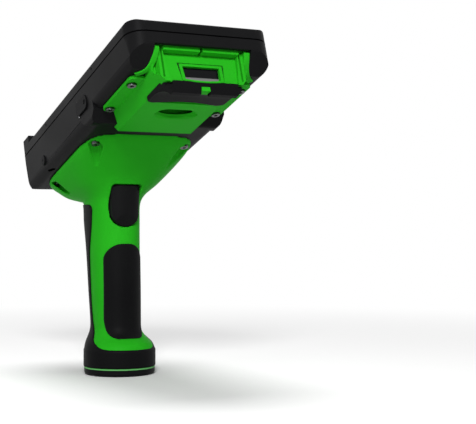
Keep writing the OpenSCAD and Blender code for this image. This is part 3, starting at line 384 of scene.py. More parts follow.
# %% Metals and the pieces inside
steel = finish("steel", (0.42, 0.43, 0.45), (0.52, 0.53, 0.55), (0.22, 0.34), 2500, 0.01, metallic=1.0)
dark_steel = finish("dark_steel", (0.10, 0.10, 0.105), (0.15, 0.15, 0.155), (0.28, 0.40),
                    2500, 0.01, metallic=1.0)
silver_plate = finish("silver_plate", (0.42, 0.44, 0.45), (0.46, 0.48, 0.49), (0.38, 0.46),
                      2200, 0.01, metallic=1.0)
contact_brass = finish("contact_brass", (0.55, 0.41, 0.16), (0.63, 0.47, 0.2), (0.25, 0.35),
                       2500, 0.01, metallic=1.0)
circuit_board = finish("circuit_board", (0.015, 0.14, 0.06), (0.03, 0.18, 0.08), (0.35, 0.45), 1800, 0.01)
battery_can = finish("battery_can", (0.07, 0.15, 0.31), (0.09, 0.17, 0.33), (0.35, 0.45), 1800, 0.01)
print("metal:", steel.name, dark_steel.name, silver_plate.name, contact_brass.name)

# %% [markdown]
# The scanner's glass
#
# The window is black glass with a pale band at its foot, a painted reflection of the floor. The window is
# black glass with a pale band at its foot, perhaps the reflector of a lamp behind it. That could be a piece of
# its own behind clear glass, but the band is thin, so the glass is painted by height: a dot product with the
# head's normal gives each point's height on the tilted head, in metres.

# %% Glass
GLASS_BLACK, GLASS_REFLECTION = (0.004, 0.004, 0.005), (0.20, 0.20, 0.20)
BLACK_ABOVE, REFLECTION_BELOW = 0.1416, 0.1410

dark_glass = bpy.data.materials.new("dark_glass")
dark_glass.use_nodes = True
tree = dark_glass.node_tree
shader = tree.nodes["Principled BSDF"]
shader.inputs["Roughness"].default_value = 0.05
shader.inputs["Specular IOR Level"].default_value = 0.08
place, height = tree.nodes.new("ShaderNodeTexCoord"), tree.nodes.new("ShaderNodeVectorMath")
height.operation = "DOT_PRODUCT"
height.inputs[1].default_value = (0, math.sin(TILT), math.cos(TILT))
tree.links.new(place.outputs["Object"], height.inputs[0])
# The pale band below is a painted reflection of the floor
band = stretch(tree, height.outputs["Value"], BLACK_ABOVE, REFLECTION_BELOW)
colour = blend_colours(tree, band.outputs["Result"], GLASS_BLACK, GLASS_REFLECTION)
tree.links.new(colour, shader.inputs["Base Color"])
print("glass pale below %.1f mm" % (REFLECTION_BELOW / MM))

# %% [markdown]
# Dressing the carried-over nodes
#
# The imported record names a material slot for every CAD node, so a loop can hand out the finishes. The screws
# outside look dark in the picture, and plain steel came out too bright there, so they get a darker steel of
# their own. The door's pin, which lies beside black pieces too, takes the same.

# %% Dress the nodes
DARK_METAL = ("nose_screws", "handle_screws", "cover_screws", "port_door_pin")
by_slot = {"green_plastic": green_plastic, "black_plastic": black_plastic, "black_rubber": black_rubber,
           "green_seal": green_seal, "steel": steel, "silver_plate": silver_plate, "dark_glass": dark_glass,
           "circuit_board": circuit_board, "battery_can": battery_can, "contact_brass": contact_brass}
slot_of = {entry["node"]: entry["material_slot"] for entry in frame["record"]["subparts"]}
for name, node in nodes.items():
    node.data.materials.clear()
    node.data.materials.append(dark_steel if name in DARK_METAL else by_slot[slot_of[name]])
print("dressed nodes:", len(nodes), "with materials:", len(by_slot) + 1)

# %% [markdown]
# Softening the carried-over solids
#
# The head and the small fittings already have the right shape. What a CAD solid lacks is the tiny radius that
# every moulded edge has, and smooth shading over its arcs. Both come from modifiers, so the mesh of the node
# stays as it is: Weld joins the loose triangles, Decimate clears the lines off flat faces, Bevel rounds the
# sharp edges, and a small geometry-node group shades smoothly except where two faces meet at a real angle.

# %% Shade by angle
SHARP_ANGLE = math.radians(32)


def shade_group(name, limit):
    """A group that forgets stored normals and shades smoothly, except over edges past the limit."""
    group = bpy.data.node_groups.new(name, "GeometryNodeTree")
    group.is_modifier = True
    for way in ("INPUT", "OUTPUT"):
        group.interface.new_socket("Geometry", in_out=way, socket_type="NodeSocketGeometry")
    make, link = group.nodes.new, group.links.new
    entry, end = make("NodeGroupInput"), make("NodeGroupOutput")
    forget = make("GeometryNodeRemoveAttribute")
    forget.inputs["Name"].default_value = "custom_normal"
    smooth = make("GeometryNodeSetShadeSmooth")
    split = make("GeometryNodeSetShadeSmooth")
    split.domain = "EDGE"
    split.inputs["Shade Smooth"].default_value = False
    angle = make("GeometryNodeInputMeshEdgeAngle")
    above = make("FunctionNodeCompare")
    above.operation = "GREATER_THAN"
    above.inputs["B"].default_value = limit
    link(entry.outputs[0], forget.inputs["Geometry"])
    link(forget.outputs["Geometry"], smooth.inputs[0])
    link(smooth.outputs[0], split.inputs[0])
    link(angle.outputs["Unsigned Angle"], above.inputs["A"])
    link(above.outputs["Result"], split.inputs["Selection"])
    link(split.outputs[0], end.inputs[0])
    return group


shade_by_angle = shade_group("shade_by_angle", SHARP_ANGLE)
print("shading group:", shade_by_angle.name)

# %% Edge radii of the carried-over nodes
WELD_DIST, FLAT_ANGLE = 0.002, math.radians(0.6)


def soften_edges(obj, radius, segments=2):
    """Joins, clears and rounds a solid with modifiers. A radius of 0 only shades it."""
    weld = obj.modifiers.new("join_triangles", "WELD")
    weld.merge_threshold = WELD_DIST * MM
    flat = obj.modifiers.new("flat_faces", "DECIMATE")
    flat.decimate_type = "DISSOLVE"
    flat.angle_limit = FLAT_ANGLE
    if radius:
        bevel = obj.modifiers.new("edge_radius", "BEVEL")
        bevel.width = radius * MM
        bevel.segments = segments
        bevel.limit_method = "ANGLE"
        bevel.angle_limit = SHARP_ANGLE
    shade = obj.modifiers.new("shade", "NODES")
    shade.node_group = shade_by_angle
    if radius:
        even = obj.modifiers.new("flat_shading", "WEIGHTED_NORMAL")
        even.keep_sharp = True


edge_radius = {"top_cover": 0.5, "lower_shell": 0.5, "face_plate": 0.2,
               "rear_inlay": 0.3, "base_cap": 0.3, "port_door": 0.25, "vent_plug": 0.25,
               "cover_screws": 0.2, "nose_screws": 0.2, "handle_screws": 0.2}
for name, node in nodes.items():
    soften_edges(node, edge_radius.get(name, 0))
print("nodes with an edge radius:", len(edge_radius))

# %% [markdown]
# The handle's skin
#
# The handle grows out of a round foot, leans back through an almost oval grip and flares into the wide flange
# under the head. It is a loft: a few stations say where the front and the rear of the section lie, how wide
# it is and how square, and a smooth curve runs through them. One circle is made and then extruded from
# station to station, which keeps all the quads in long clean rows.

# %% Stations of the handle
FOOT_Z, BAND_TOP, NECK_Z = 5.4, 17.3, 118.0
TOE_R, FOOT_R = 24.6, 25.0
GRIP_W, GRIP_D, GRIP_H, LEAN = 33.2, 42.0, NECK_Z - BAND_TOP, 14.5
FLANGE_HALF, FLANGE_FRONT_S, FLANGE_REAR_S = 40.0, 118.0, 14.0
UNDERSIDE = -33.7


def level(z, lean_share, depth_grow, wide_grow, square):
    """A level station of the grip: its front, its rear, half its width and its squareness."""
    middle, half = LEAN * lean_share, (GRIP_D + depth_grow) / 2
    return (middle - half, z, middle + half, z, (GRIP_W + wide_grow) / 2, square)


neck = level(NECK_Z, 1, 8.5, 3.2, 2.2)
flange_front = on_head(0, FLANGE_FRONT_S, UNDERSIDE)
flange_rear = on_head(0, FLANGE_REAR_S, UNDERSIDE)


def flare(front_y, front_z, rear_y, rear_z, wide, square):
    """A station of the funnel, in shares of the way from the neck to the flange."""
    return (neck[0] + (flange_front.y - neck[0]) * front_y, neck[1] + (flange_front.z - neck[1]) * front_z,
            neck[2] + (flange_rear.y - neck[2]) * rear_y, neck[3] + (flange_rear.z - neck[3]) * rear_z,
            neck[4] + (FLANGE_HALF - neck[4]) * wide, square)


stations = [
    (-TOE_R, FOOT_Z, TOE_R, FOOT_Z, TOE_R, 2),
    (-TOE_R, BAND_TOP - 2, TOE_R, BAND_TOP - 2, TOE_R, 2),
    (-TOE_R + 0.8, BAND_TOP + 1, TOE_R, BAND_TOP + 1, TOE_R - 0.6, 2),
    (-TOE_R + 2.7, BAND_TOP + 4.7, TOE_R + 0.8, BAND_TOP + 4.7, TOE_R - 2.2, 2),
    (-TOE_R + 7.5, BAND_TOP + 8.7, TOE_R + 1.6, BAND_TOP + 8.7, GRIP_W / 2 + 2.5, 2.1),
    level(BAND_TOP + 12.7, 0.43, -0.9, 0.2, 2.2),
    level(BAND_TOP + 18.7, 0.49, -1.9, -1.2, 2.2),
    level(BAND_TOP + GRIP_H * 0.39, 0.61, 0, 0, 2.2),
    level(BAND_TOP + GRIP_H * 0.67, 0.79, 3, 1, 2.2),
    level(BAND_TOP + GRIP_H * 0.87, 0.95, 6.6, 2.2, 2.2),
    neck,
    flare(0.06, 0.19, 0.42, 0.10, 0.15, 2.5),
    flare(0.22, 0.40, 0.86, 0.25, 0.50, 3.1),
    flare(0.58, 0.68, 1, 0.52, 0.81, 3.6),
    flare(0.89, 0.90, 1, 0.8, 0.97, 4.8),
    flare(0.99, 1, 0.995, 1, 0.985, 5.4)]
NECK_STATION = stations.index(neck)
print("stations:", len(stations), "flange front at", [round(v, 1) for v in flange_front])

# %% Curve through the stations
def station_at(t):
    """The section at t stations from the foot, on a smooth curve through the listed ones."""
    last = len(stations) - 1
    k = min(int(t), last - 1)
    u = t - k
    near = [stations[max(k - 1, 0)], stations[k], stations[k + 1], stations[min(k + 2, last)]]
    return [b + u * (c - a) / 2 + u * u * (a - 2.5 * b + 2 * c - d / 2)
            + u ** 3 * (1.5 * b - 1.5 * c + (d - a) / 2) for a, b, c, d in zip(*near)]


print("half width below the neck: %.1f mm" % station_at(NECK_STATION - 0.5)[4])

# %% Loft through the stations
AROUND, STEPS = 112, 6
# The stations between which a loft goes over from its growth at the foot to that of the grip
FOOT_FROM, FOOT_TO = 2, 4


def only(kind, geom):
    """The members of an operator's result that are of one kind."""
    return [member for member in geom if isinstance(member, kind)]


def loft(name, grow, first, last, material, foot_grow=None):
    """The handle's closed skin between two stations, moved out by grow, or by foot_grow at the foot."""
    bm = bmesh.new()
    turn = bm.verts.layers.float.new("turn")
    ring = bmesh.ops.create_circle(bm, cap_ends=False, segments=AROUND, radius=1)["verts"]
    for v in ring:
        v[turn] = math.atan2(v.co.y, v.co.x)
    first_edges = edges = bm.edges[:]
    for i in range(int(first * STEPS), int(last * STEPS) + 1):
        if i > first * STEPS:
            grown = bmesh.ops.extrude_edge_only(bm, edges=edges)["geom"]
            ring, edges = only(bmesh.types.BMVert, grown), only(bmesh.types.BMEdge, grown)
        front_y, front_z, rear_y, rear_z, half_w, square = station_at(i / STEPS)
        run = Vector((0, rear_y - front_y, rear_z - front_z))
        out = grow
        if foot_grow is not None:
            share = (i / STEPS - FOOT_FROM) / (FOOT_TO - FOOT_FROM)
            out = foot_grow + (grow - foot_grow) * min(max(share, 0), 1)
        half_d = run.length / 2 + out
        middle = Vector((0, front_y + rear_y, front_z + rear_z)) / 2
        for v in ring:
            c, s = math.cos(v[turn]), math.sin(v[turn])
            across = math.copysign(abs(c) ** (2 / square), c) * (half_w + out)
            along = math.copysign(abs(s) ** (2 / square), s) * half_d
            v.co = (middle + Vector((across, 0, 0)) + run.normalized() * along) * MM
    bmesh.ops.contextual_create(bm, geom=first_edges)
    bmesh.ops.contextual_create(bm, geom=edges)
    bmesh.ops.recalc_face_normals(bm, faces=bm.faces[:])
    return as_object(name, bm, material)


handle = loft("grip_skin", grow=0, first=0, last=len(stations) - 1, material=green_grip)
print("loft faces:", len(handle.data.polygons))

# %% [markdown]
# The trigger's pocket and the screw scoops
#
# The trigger swings in a pocket with the outline of a shield, and each flange screw lies at the end of a
# tapered scoop that lets a driver in. These are cut from the loft with booleans. Outlines start as a few
# corner points, and a vertex bevel rounds each corner by its own radius. A scoop is the convex hull of two or
# three circles. The cutters are thrown away once they have done their work.

# %% Trigger pocket
TRIGGER_W, TRIGGER_TOP, TRIGGER_FOOT = 21.5, 131.0, 102.4
TRIGGER_TAPER, TRIGGER_FLAT = 1.2, 1.5
POCKET_GAP, POCKET_BACK, POCKET_TOP_R = 0.5, 4.85, 2
FAR, CORNER_STEPS = 60.0, 10


def from_front(x, z):
    """A point well in front of the handle."""
    return Vector((x, -FAR, z))


def push_faces(bm, way):
    """Gives flat faces a thickness along a vector in metres, and turns all faces outwards."""
    pushed = bmesh.ops.extrude_face_region(bm, geom=bm.faces[:])["geom"]
    bmesh.ops.translate(bm, vec=way, verts=only(bmesh.types.BMVert, pushed))
    bmesh.ops.recalc_face_normals(bm, faces=bm.faces[:])


def outline_prism(name, corners, place, along):
    """A prism from corners (u, v, radius), put into space by place(u, v) and pushed along a vector."""
    bm = bmesh.new()
    verts = [bm.verts.new(place(u, v) * MM) for u, v, radius in corners]
    loop = [bm.edges.new((verts[i - 1], verts[i])) for i in range(len(verts))]
    bmesh.ops.edgeloop_fill(bm, edges=loop)
    for vert, (u, v, radius) in zip(verts, corners):
        if radius:
            arms = [(edge.other_vert(vert).co - vert.co).normalized() for edge in vert.link_edges]
            turned = math.pi - arms[0].angle(arms[1])
            bmesh.ops.bevel(bm, geom=[vert], offset=radius * MM * math.tan(turned / 2), segments=CORNER_STEPS,
                            profile=0.5, affect="VERTICES", material=-1)
    push_faces(bm, along * MM)
    return as_object(name, bm, black_plastic)


top, foot = TRIGGER_TOP + POCKET_GAP, TRIGGER_FOOT - POCKET_GAP
top_half = TRIGGER_W / 2 + POCKET_GAP
foot_half, foot_r = top_half - TRIGGER_TAPER, TRIGGER_W / 2 - TRIGGER_FLAT + POCKET_GAP
shield = [(-top_half, top, POCKET_TOP_R), (-foot_half, foot, foot_r),
          (foot_half, foot, foot_r), (top_half, top, POCKET_TOP_R)]
pocket = outline_prism("pocket", shield, from_front, Vector((0, FAR + POCKET_BACK, 0)))
print("pocket: %.1f mm wide" % (2 * top_half))

# %% Scoops and recesses of the flange screws
SCREW_X, SCREW_FRONT_S, SCREW_REAR_S = 32.3, 105.0, 30.0
SCREW_SEAT, SCREW_R, SCREW_H = UNDERSIDE - 1.0, 2.8, 2.2
RECESS_R, RECESS_FOOT = SCREW_R + 0.5, SCREW_SEAT - SCREW_H - 0.6
HULL_STEPS = 40
# Cutters keep this far apart, because a boolean can't tell which of two faces in one plane to keep
APART = 0.05
# Circles of a cutter: share of the screw's x, way along the head from the screw, n and radius
FRONT_SCOOP = [(1, 0, SCREW_SEAT, SCREW_R + 2.2), (0.81, -18, UNDERSIDE - 10.8, 0.8),
               (0.9, -8, UNDERSIDE - 13, 3.0)]
REAR_SCOOP = [(1, 0, SCREW_SEAT, SCREW_R + 1.6), (0.87, 6, UNDERSIDE - 12, 2.2),
              (1.2, 8, UNDERSIDE - 6, 2.5)]
RECESS = [(1, 0, SCREW_SEAT + APART, RECESS_R), (1, 0, RECESS_FOOT, RECESS_R)]


def circle_hull(name, circles, facing=HEAD_TURN, material=black_plastic):
    """The convex hull of circles (centre, radius), square to the head's normal unless turned by facing."""
    bm = bmesh.new()
    for centre, radius in circles:
        bmesh.ops.create_circle(bm, cap_ends=False, segments=HULL_STEPS, radius=radius * MM,
                                matrix=Matrix.Translation(centre * MM) @ facing)
    inside = bmesh.ops.convex_hull(bm, input=bm.verts[:])["geom_interior"]
    bmesh.ops.delete(bm, geom=only(bmesh.types.BMVert, inside), context="VERTS")
    bmesh.ops.recalc_face_normals(bm, faces=bm.faces[:])
    return as_object(name, bm, material)


def screw_cutter(name, x, s, circles):
    """A hull of circles that are given from a screw at x, s."""
    return circle_hull(name, [(on_head(x * share, s + way, n), r) for share, way, n, r in circles])


cutters = [pocket]
for x in (-SCREW_X, SCREW_X):
    cutters.append(screw_cutter("front_scoop", x, SCREW_FRONT_S, FRONT_SCOOP))
    cutters.append(screw_cutter("rear_scoop", x, SCREW_REAR_S, REAR_SCOOP))
    cutters += [screw_cutter("screw_recess", x, s, RECESS) for s in (SCREW_FRONT_S, SCREW_REAR_S)]
print("cutters:", len(cutters))

# %% Cut the handle
def bake_modifiers(obj):
    """Turns what the modifiers make into the object's own mesh."""
    shown = obj.evaluated_get(bpy.context.evaluated_depsgraph_get())
    made = bpy.data.meshes.new_from_object(shown)
    made.name = obj.name
    obj.modifiers.clear()
    obj.data = made


def combine(obj, tools, operation):
    """Cuts an object with tools, or joins them to it, and throws the tools away."""
    for tool in tools:
        step = obj.modifiers.new("cut", "BOOLEAN")
        step.object = tool
        step.operation = operation
        step.solver = "EXACT"
        bake_modifiers(obj)
        bpy.data.objects.remove(tool)


combine(handle, cutters, "DIFFERENCE")
print("cut handle faces:", len(handle.data.polygons))

# %% Even out the handle
def smooth_faces(obj):
    """Shades every face smoothly."""
    for polygon in obj.data.polygons:
        polygon.use_smooth = True


def even_out(obj, voxel, passes):
    """Remeshes a cut piece evenly and relaxes it, which gives every edge the small radius of a moulding."""
    grid = obj.modifiers.new("even_grid", "REMESH")
    grid.mode = "VOXEL"
    grid.voxel_size = voxel * MM
    grid.use_smooth_shade = True
    relax = obj.modifiers.new("relax", "SMOOTH")
    relax.factor = 0.5
    relax.iterations = passes
    bake_modifiers(obj)
    smooth_faces(obj)


def triangles(obj):
    """How many triangles the faces of an object come to."""
    return sum(len(polygon.vertices) - 2 for polygon in obj.data.polygons)


even_out(handle, voxel=0.7, passes=3)
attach(handle, "scanner")
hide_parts("handle_body")
print("handle triangles:", triangles(handle))

# %% [markdown]
# The rubber pads
#
# Two pieces of black rubber are set into the handle: a pad for the fingers in front, and a strip down the
# back that runs into the band round the foot. Each stands a little proud. A pad follows the handle exactly,
# so it is cut from the same loft: the skin grown outwards, kept only inside the pad's outline, with the inner
# skin taken out again. The even remesh then rounds the rim as soft rubber is.

# %% Front pad
PROUD, SUNK = 0.8, -1.2
PAD_TOP, PAD_FOOT, PAD_HALF = NECK_Z - 27.6, NECK_Z - 92.6, GRIP_W / 2 - 2.9
PAD_TAPER, PAD_TAPER_H, PAD_BACK = 1.2, 12, LEAN * 0.5

pad = loft("front_pad", grow=PROUD, first=1, last=NECK_STATION, material=grip_rubber)
# Corners of the pad from the front: x, z and radius
pad_outline = [(-PAD_HALF + PAD_TAPER, PAD_FOOT, 5), (PAD_HALF - PAD_TAPER, PAD_FOOT, 5),
               (PAD_HALF, PAD_FOOT + PAD_TAPER_H, 20), (PAD_HALF, PAD_TOP, 11),
               (-PAD_HALF, PAD_TOP, 11), (-PAD_HALF, PAD_FOOT + PAD_TAPER_H, 20)]
keep = outline_prism("pad_shape", pad_outline, from_front, Vector((0, FAR + PAD_BACK, 0)))
combine(pad, [keep], "INTERSECT")
combine(pad, [loft("inner", SUNK, 0, NECK_STATION + 1, grip_rubber)], "DIFFERENCE")
even_out(pad, voxel=0.5, passes=5)
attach(pad, "scanner")
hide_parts("front_grip")
print("front pad triangles:", triangles(pad))

# %% Rear strip and foot band
SIDE = 50.0


def drum(name, radius, depth, matrix, segments, material):
    """A closed cylinder round the z axis of a matrix."""
    bm = bmesh.new()
    bmesh.ops.create_cone(bm, cap_ends=True, segments=segments, radius1=radius * MM, radius2=radius * MM,
                          depth=depth * MM, matrix=matrix)
    return as_object(name, bm, material)


strip = loft("rear_strip", PROUD, 1, NECK_STATION + 1, grip_rubber, foot_grow=FOOT_R - TOE_R - APART)
band = drum("band", FOOT_R, BAND_TOP - FOOT_Z - APART,
            Matrix.Translation((0, 0, (BAND_TOP + FOOT_Z + APART) / 2 * MM)), AROUND, grip_rubber)
combine(strip, [band], "UNION")
# Corners of the strip from the side: y, z and radius
strip_outline = [
    (FAR, FOOT_Z - 1, 0), (FAR, NECK_Z - 0.4, 0), (LEAN - 7, NECK_Z - 0.4, 4), (LEAN - 6.2, NECK_Z - 14, 30),
    (LEAN - 1.6, NECK_Z - 34, 30), (LEAN - 3.6, BAND_TOP + 28, 40), (LEAN - 6, BAND_TOP + 16, 14),
    (-1, BAND_TOP + 7.5, 20), (-14, BAND_TOP + 1.4, 20), (-FAR, BAND_TOP - 0.6, 0), (-FAR, FOOT_Z - 1, 0)]
keep = outline_prism("strip_shape", strip_outline, lambda y, z: Vector((-SIDE, y, z)), Vector((2 * SIDE, 0, 0)))
combine(strip, [keep], "INTERSECT")
combine(strip, [loft("inner", SUNK, 0, NECK_STATION + 2, grip_rubber)], "DIFFERENCE")
even_out(strip, voxel=0.6, passes=4)
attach(strip, "scanner")
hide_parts("rear_grip")
print("rear strip triangles:", triangles(strip))

# %% [markdown]
# The trigger and its spring
#
# The trigger is a smooth shield without one sharp edge, so its solid is copied, joined and remeshed like the
# pads. Behind it sits a steel coil, which is only copied, because its solid is fine enough. A pulled trigger
# presses the coil together. The copy gets a mesh of its own, and its reach along y is printed.

# %% Trigger
def joined_mesh(node_name):
    """A bmesh of a CAD node, with its loose triangles joined."""
    bm = bmesh.new()
    bm.from_mesh(nodes[node_name].data)
    bmesh.ops.remove_doubles(bm, verts=bm.verts[:], dist=WELD_DIST * MM)
    return bm


def solid_copy(name, node_name, material):
    """A copy of a CAD node that may be cut and remeshed."""
    obj = as_object(name, joined_mesh(node_name), material)
    if "custom_normal" in obj.data.attributes:
        obj.data.attributes.remove(obj.data.attributes["custom_normal"])
    return obj


trigger = solid_copy("trigger_shield", "trigger", black_plastic)
even_out(trigger, voxel=0.35, passes=5)
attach(trigger, "trigger_body")
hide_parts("trigger")
print("trigger triangles:", triangles(trigger))

# %% Spring behind the trigger
coil = solid_copy("spring_coil", "trigger_spring", steel)
soften_edges(coil, radius=0)
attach(coil, "scanner")
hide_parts("trigger_spring")
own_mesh(coil)
coil_y = [vert.co.y / MM for vert in coil.data.vertices]
print("spring from y = %.2f to %.2f mm" % (min(coil_y), max(coil_y)))

# %% [markdown]
# The nose
#
# The green housing under the head's front keeps the crisp walls of its solid. It only gains the shallow oval
# dimple round its sounder slot, which a flattened sphere cuts out of the underside. A sculpted dent would need
# a dense mesh all over, while a boolean leaves the flat walls as they are.

# %% Nose with the dimple of its sounder
NOSE_S1, NOSE_N = 206.0, -36.7
SOUNDER_X, SOUNDER_S, SOUNDER_N = 2, NOSE_S1 - 47.5, NOSE_N - 0.5
SOUNDER_HALF = (15, 6.5, 5)
nose = solid_copy("nose_skin", "nose_housing", green_plastic)
bm = bmesh.new()
bmesh.ops.create_uvsphere(bm, u_segments=64, v_segments=32, radius=MM, matrix=head_matrix(
    SOUNDER_X, SOUNDER_S, SOUNDER_N) @ Matrix.Diagonal((*SOUNDER_HALF, 1)))
combine(nose, [as_object("sounder_dimple", bm, black_plastic)], "DIFFERENCE")
soften_edges(nose, radius=0.3)
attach(nose, "scanner")
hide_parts("nose_housing")
print("nose faces:", len(nose.data.polygons))

# %% [markdown]
# The chin
#
# A black rubber pad guards the edge below the window. Its rear edge is an arch, and its upper front edge bows
# down in the middle. Both curves are parts of large circles, so two drums cut them from a copy of the solid:
# one stands upright on the head, and the other lies along it.

# %% Chin with its arch and bow
CHIN_S0 = NOSE_S1 - 30.7
ARCH_R, ARCH_IN, ARCH_DEPTH, ARCH_STEPS = 56.0, 4.5, 20, 160
BOW_R, BOW_FOOT, BOW_DEPTH, BOW_STEPS = 85.0, -37.5, 16, 240
LYING = Matrix.Rotation(math.pi / 2, 4, "X")
chin = solid_copy("chin_pad", "chin_bumper", black_rubber)
arch_at = head_matrix(0, CHIN_S0 + ARCH_IN - ARCH_R, NOSE_N)
combine(chin, [drum("arch", ARCH_R, ARCH_DEPTH, arch_at, ARCH_STEPS, black_rubber)], "DIFFERENCE")
bow_at = head_matrix(0, NOSE_S1, BOW_FOOT + BOW_R) @ LYING
combine(chin, [drum("bow", BOW_R, BOW_DEPTH, bow_at, BOW_STEPS, black_rubber)], "DIFFERENCE")
soften_edges(chin, radius=0.4, segments=3)
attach(chin, "scanner")
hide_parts("chin_bumper")
print("chin faces:", len(chin.data.polygons))

# %% [markdown]
# The lip and the flared rims
#
# Above the window's panel runs a green lip with a small aiming notch in its middle, so it is made as two bars
# with a gap between them. Beside the nose two low rims sweep down the slope of the shell and out along its
# underside. Each is a four-sided bar, extruded from point to point along its path. Its foot turns with the
# surface on the way, and a bevel and a subdivision make the bar a soft moulding.

# %% Lip above the panel
LIP_X, LIP_S, LIP_N, NOTCH = 25.6, 205.75, -15.7, 0.9
LIP_LONG, LIP_HIGH = 5.3, 3.0
bm = bmesh.new()
for side in (-1, 1):
    bmesh.ops.create_cube(bm, size=MM, matrix=head_matrix(side * (LIP_X + NOTCH) / 2, LIP_S, LIP_N)
                          @ Matrix.Diagonal((LIP_X - NOTCH, LIP_LONG, LIP_HIGH, 1)))
lip = as_object("nose_lip", bm, green_plastic)
soften_edges(lip, radius=0.4)
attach(lip, "scanner")
print("lip faces:", len(lip.data.polygons))

# %% Flared rims beside the nose
RIM_PATH = [(30.6, 209.2, -15.8), (30.7, 207.9, -18.8), (31.0, 205.4, -21.8), (31.9, 202.4, -24.7),
            (33.6, 199.6, -26.7), (36.0, 196.4, -27.3), (39.4, 193.6, -27.4)]
RIM_HALF, RIM_UP, RIM_DOWN = 2.0, 1.0, 0.6
RIM_SHAPE = [(-RIM_HALF, -RIM_DOWN), (RIM_HALF, -RIM_DOWN), (RIM_HALF, RIM_UP), (-RIM_HALF, RIM_UP)]
OUT_OF_SLOPE, OUT_OF_FLAT = head_direction(0, 0.7, -0.71), head_direction(0, 0, -1)
# The points of the path between which the foot goes over from the slope to the underside
TURN_FROM, TURN_TO = 2, 5


def flared_rim(bm, corner, side):
    """A low bar along the rim's path. Each vertex keeps the number of its corner of the bar."""
    points = [on_head(side * x, s, n) for x, s, n in RIM_PATH]
    ring = bmesh.ops.create_circle(bm, cap_ends=False, segments=len(RIM_SHAPE), radius=1)["verts"]
    for number, vert in enumerate(ring):
        vert[corner] = number
    first = edges = [edge for edge in bm.edges if edge.verts[0] in ring]
    for i, point in enumerate(points):
        if i:
            grown = bmesh.ops.extrude_edge_only(bm, edges=edges)["geom"]
            ring, edges = only(bmesh.types.BMVert, grown), only(bmesh.types.BMEdge, grown)
        along = (points[min(i + 1, len(points) - 1)] - points[max(i - 1, 0)]).normalized()
        up = OUT_OF_SLOPE.lerp(OUT_OF_FLAT, min(max((i - TURN_FROM) / (TURN_TO - TURN_FROM), 0), 1))
        up = (up - along * up.dot(along)).normalized()
        across = along.cross(up)
        for vert in ring:
            sideways, outwards = RIM_SHAPE[vert[corner]]
            vert.co = (point + across * sideways + up * outwards) * MM
    bmesh.ops.contextual_create(bm, geom=first)
    bmesh.ops.contextual_create(bm, geom=edges)


bm = bmesh.new()
corner = bm.verts.layers.int.new("corner")
for side in (-1, 1):
    flared_rim(bm, corner, side)
bm.verts.layers.int.remove(corner)
bmesh.ops.recalc_face_normals(bm, faces=bm.faces[:])
rims = as_object("nose_rims", bm, green_plastic)
print("bars of the rims have faces:", len(rims.data.polygons))

# %% Round the rims
RIM_EDGE, RIM_ANGLE = 0.5, math.radians(50)
round_off = rims.modifiers.new("round_off", "BEVEL")
round_off.width, round_off.segments = RIM_EDGE * MM, 2
round_off.limit_method = "ANGLE"
round_off.angle_limit = RIM_ANGLE
curve = rims.modifiers.new("curve", "SUBSURF")
curve.levels = curve.render_levels = 2
bake_modifiers(rims)
smooth_faces(rims)
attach(rims, "scanner")
print("rim faces:", len(rims.data.polygons))

# %% [markdown]
# The window's frame and the painted shade round it
#
# The window sits in a raised green frame with a bowed foot, and a dark line runs round that frame, where it
# meets the leaning panel. That line is the shade in the gap there, painted by a ring of black rubber. Both are
# rings of one outline: two loops of points are bridged to a flat ring and pushed forward. The ring of painted
# shade is pushed less far and shows only as the gap that catches the eye.

# %% Window frame
WINDOW_TOP, WINDOW_FOOT = -25.4, -34.1
FOOT_IN, FOOT_SAG, FOOT_STEPS = 0.6, 0.9, 6
PANEL_S, PANEL_N, PANEL_LEAN = 201.8, WINDOW_TOP + 2, math.tan(math.radians(7))
# Half the width of a loop, and how far it lies above the window's top and below its foot
FRAME_OUTER, FRAME_INNER, FRAME_DEEP = (14.6, 1.9, 1.3), (12.5, 0, 0), 2.2


def window_loop(bm, half, above, below):
    """Edges along the window's outline: two upper corners and a foot that bows downwards."""
    outline = [(half, WINDOW_TOP + above), (-half, WINDOW_TOP + above)]
    for i in range(-FOOT_STEPS, FOOT_STEPS + 1):
        sag = FOOT_SAG * (i * i / FOOT_STEPS ** 2 - 1)
        outline.append(((half - FOOT_IN) * i / FOOT_STEPS, WINDOW_FOOT - below + sag))
    verts = [bm.verts.new(on_head(x, PANEL_S + (PANEL_N - n) * PANEL_LEAN, n) * MM) for x, n in outline]
    return [bm.edges.new((verts[i - 1], verts[i])) for i in range(len(verts))]


def window_ring(name, outer, inner, deep, material):
    """A ring between two loops round the window, pushed forward along the head."""
    bm = bmesh.new()
    bmesh.ops.bridge_loops(bm, edges=window_loop(bm, *outer) + window_loop(bm, *inner))
    push_faces(bm, head_direction(0, 1, 0) * deep * MM)
    return as_object(name, bm, material)


window_frame = window_ring("window_frame", FRAME_OUTER, FRAME_INNER, FRAME_DEEP, green_plastic)
soften_edges(window_frame, radius=0.35)
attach(window_frame, "scanner")
print("window frame faces:", len(window_frame.data.polygons))

# %% Painted shade in the gap round the window frame
GAP_SHADE_OUTER, GAP_SHADE_INNER, GAP_SHADE_DEEP = (15.4, 2.7, 1.7), (14.5, 1.8, 1.2), 1.5
gap_shade = window_ring("window_gap_shade", GAP_SHADE_OUTER, GAP_SHADE_INNER, GAP_SHADE_DEEP, black_rubber)
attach(gap_shade, "scanner")
print("seal faces:", len(gap_shade.data.polygons))

# %% [markdown]
# The seam of the head
#
# The cover and the shell are clamped on a soft gasket, and from outside the joint is one deep, dark line: the
# shade inside the gap, painted by a near-black wall. The line has to follow the head's outline exactly, so the
# outline is taken from the cover itself: a plane cuts its mesh just above the seam, and the widest loop of the
# cut is kept, drawn down across the joint and given a thin wall.

# %% Outline of the cover above the seam
SEAM_N, SEAM_H, SEAM_OUT, SEAM_T = -7.5, 0.8, 0.06, 0.1
SEAM_CUT = 0.25
up = head_direction(0, 0, 1)


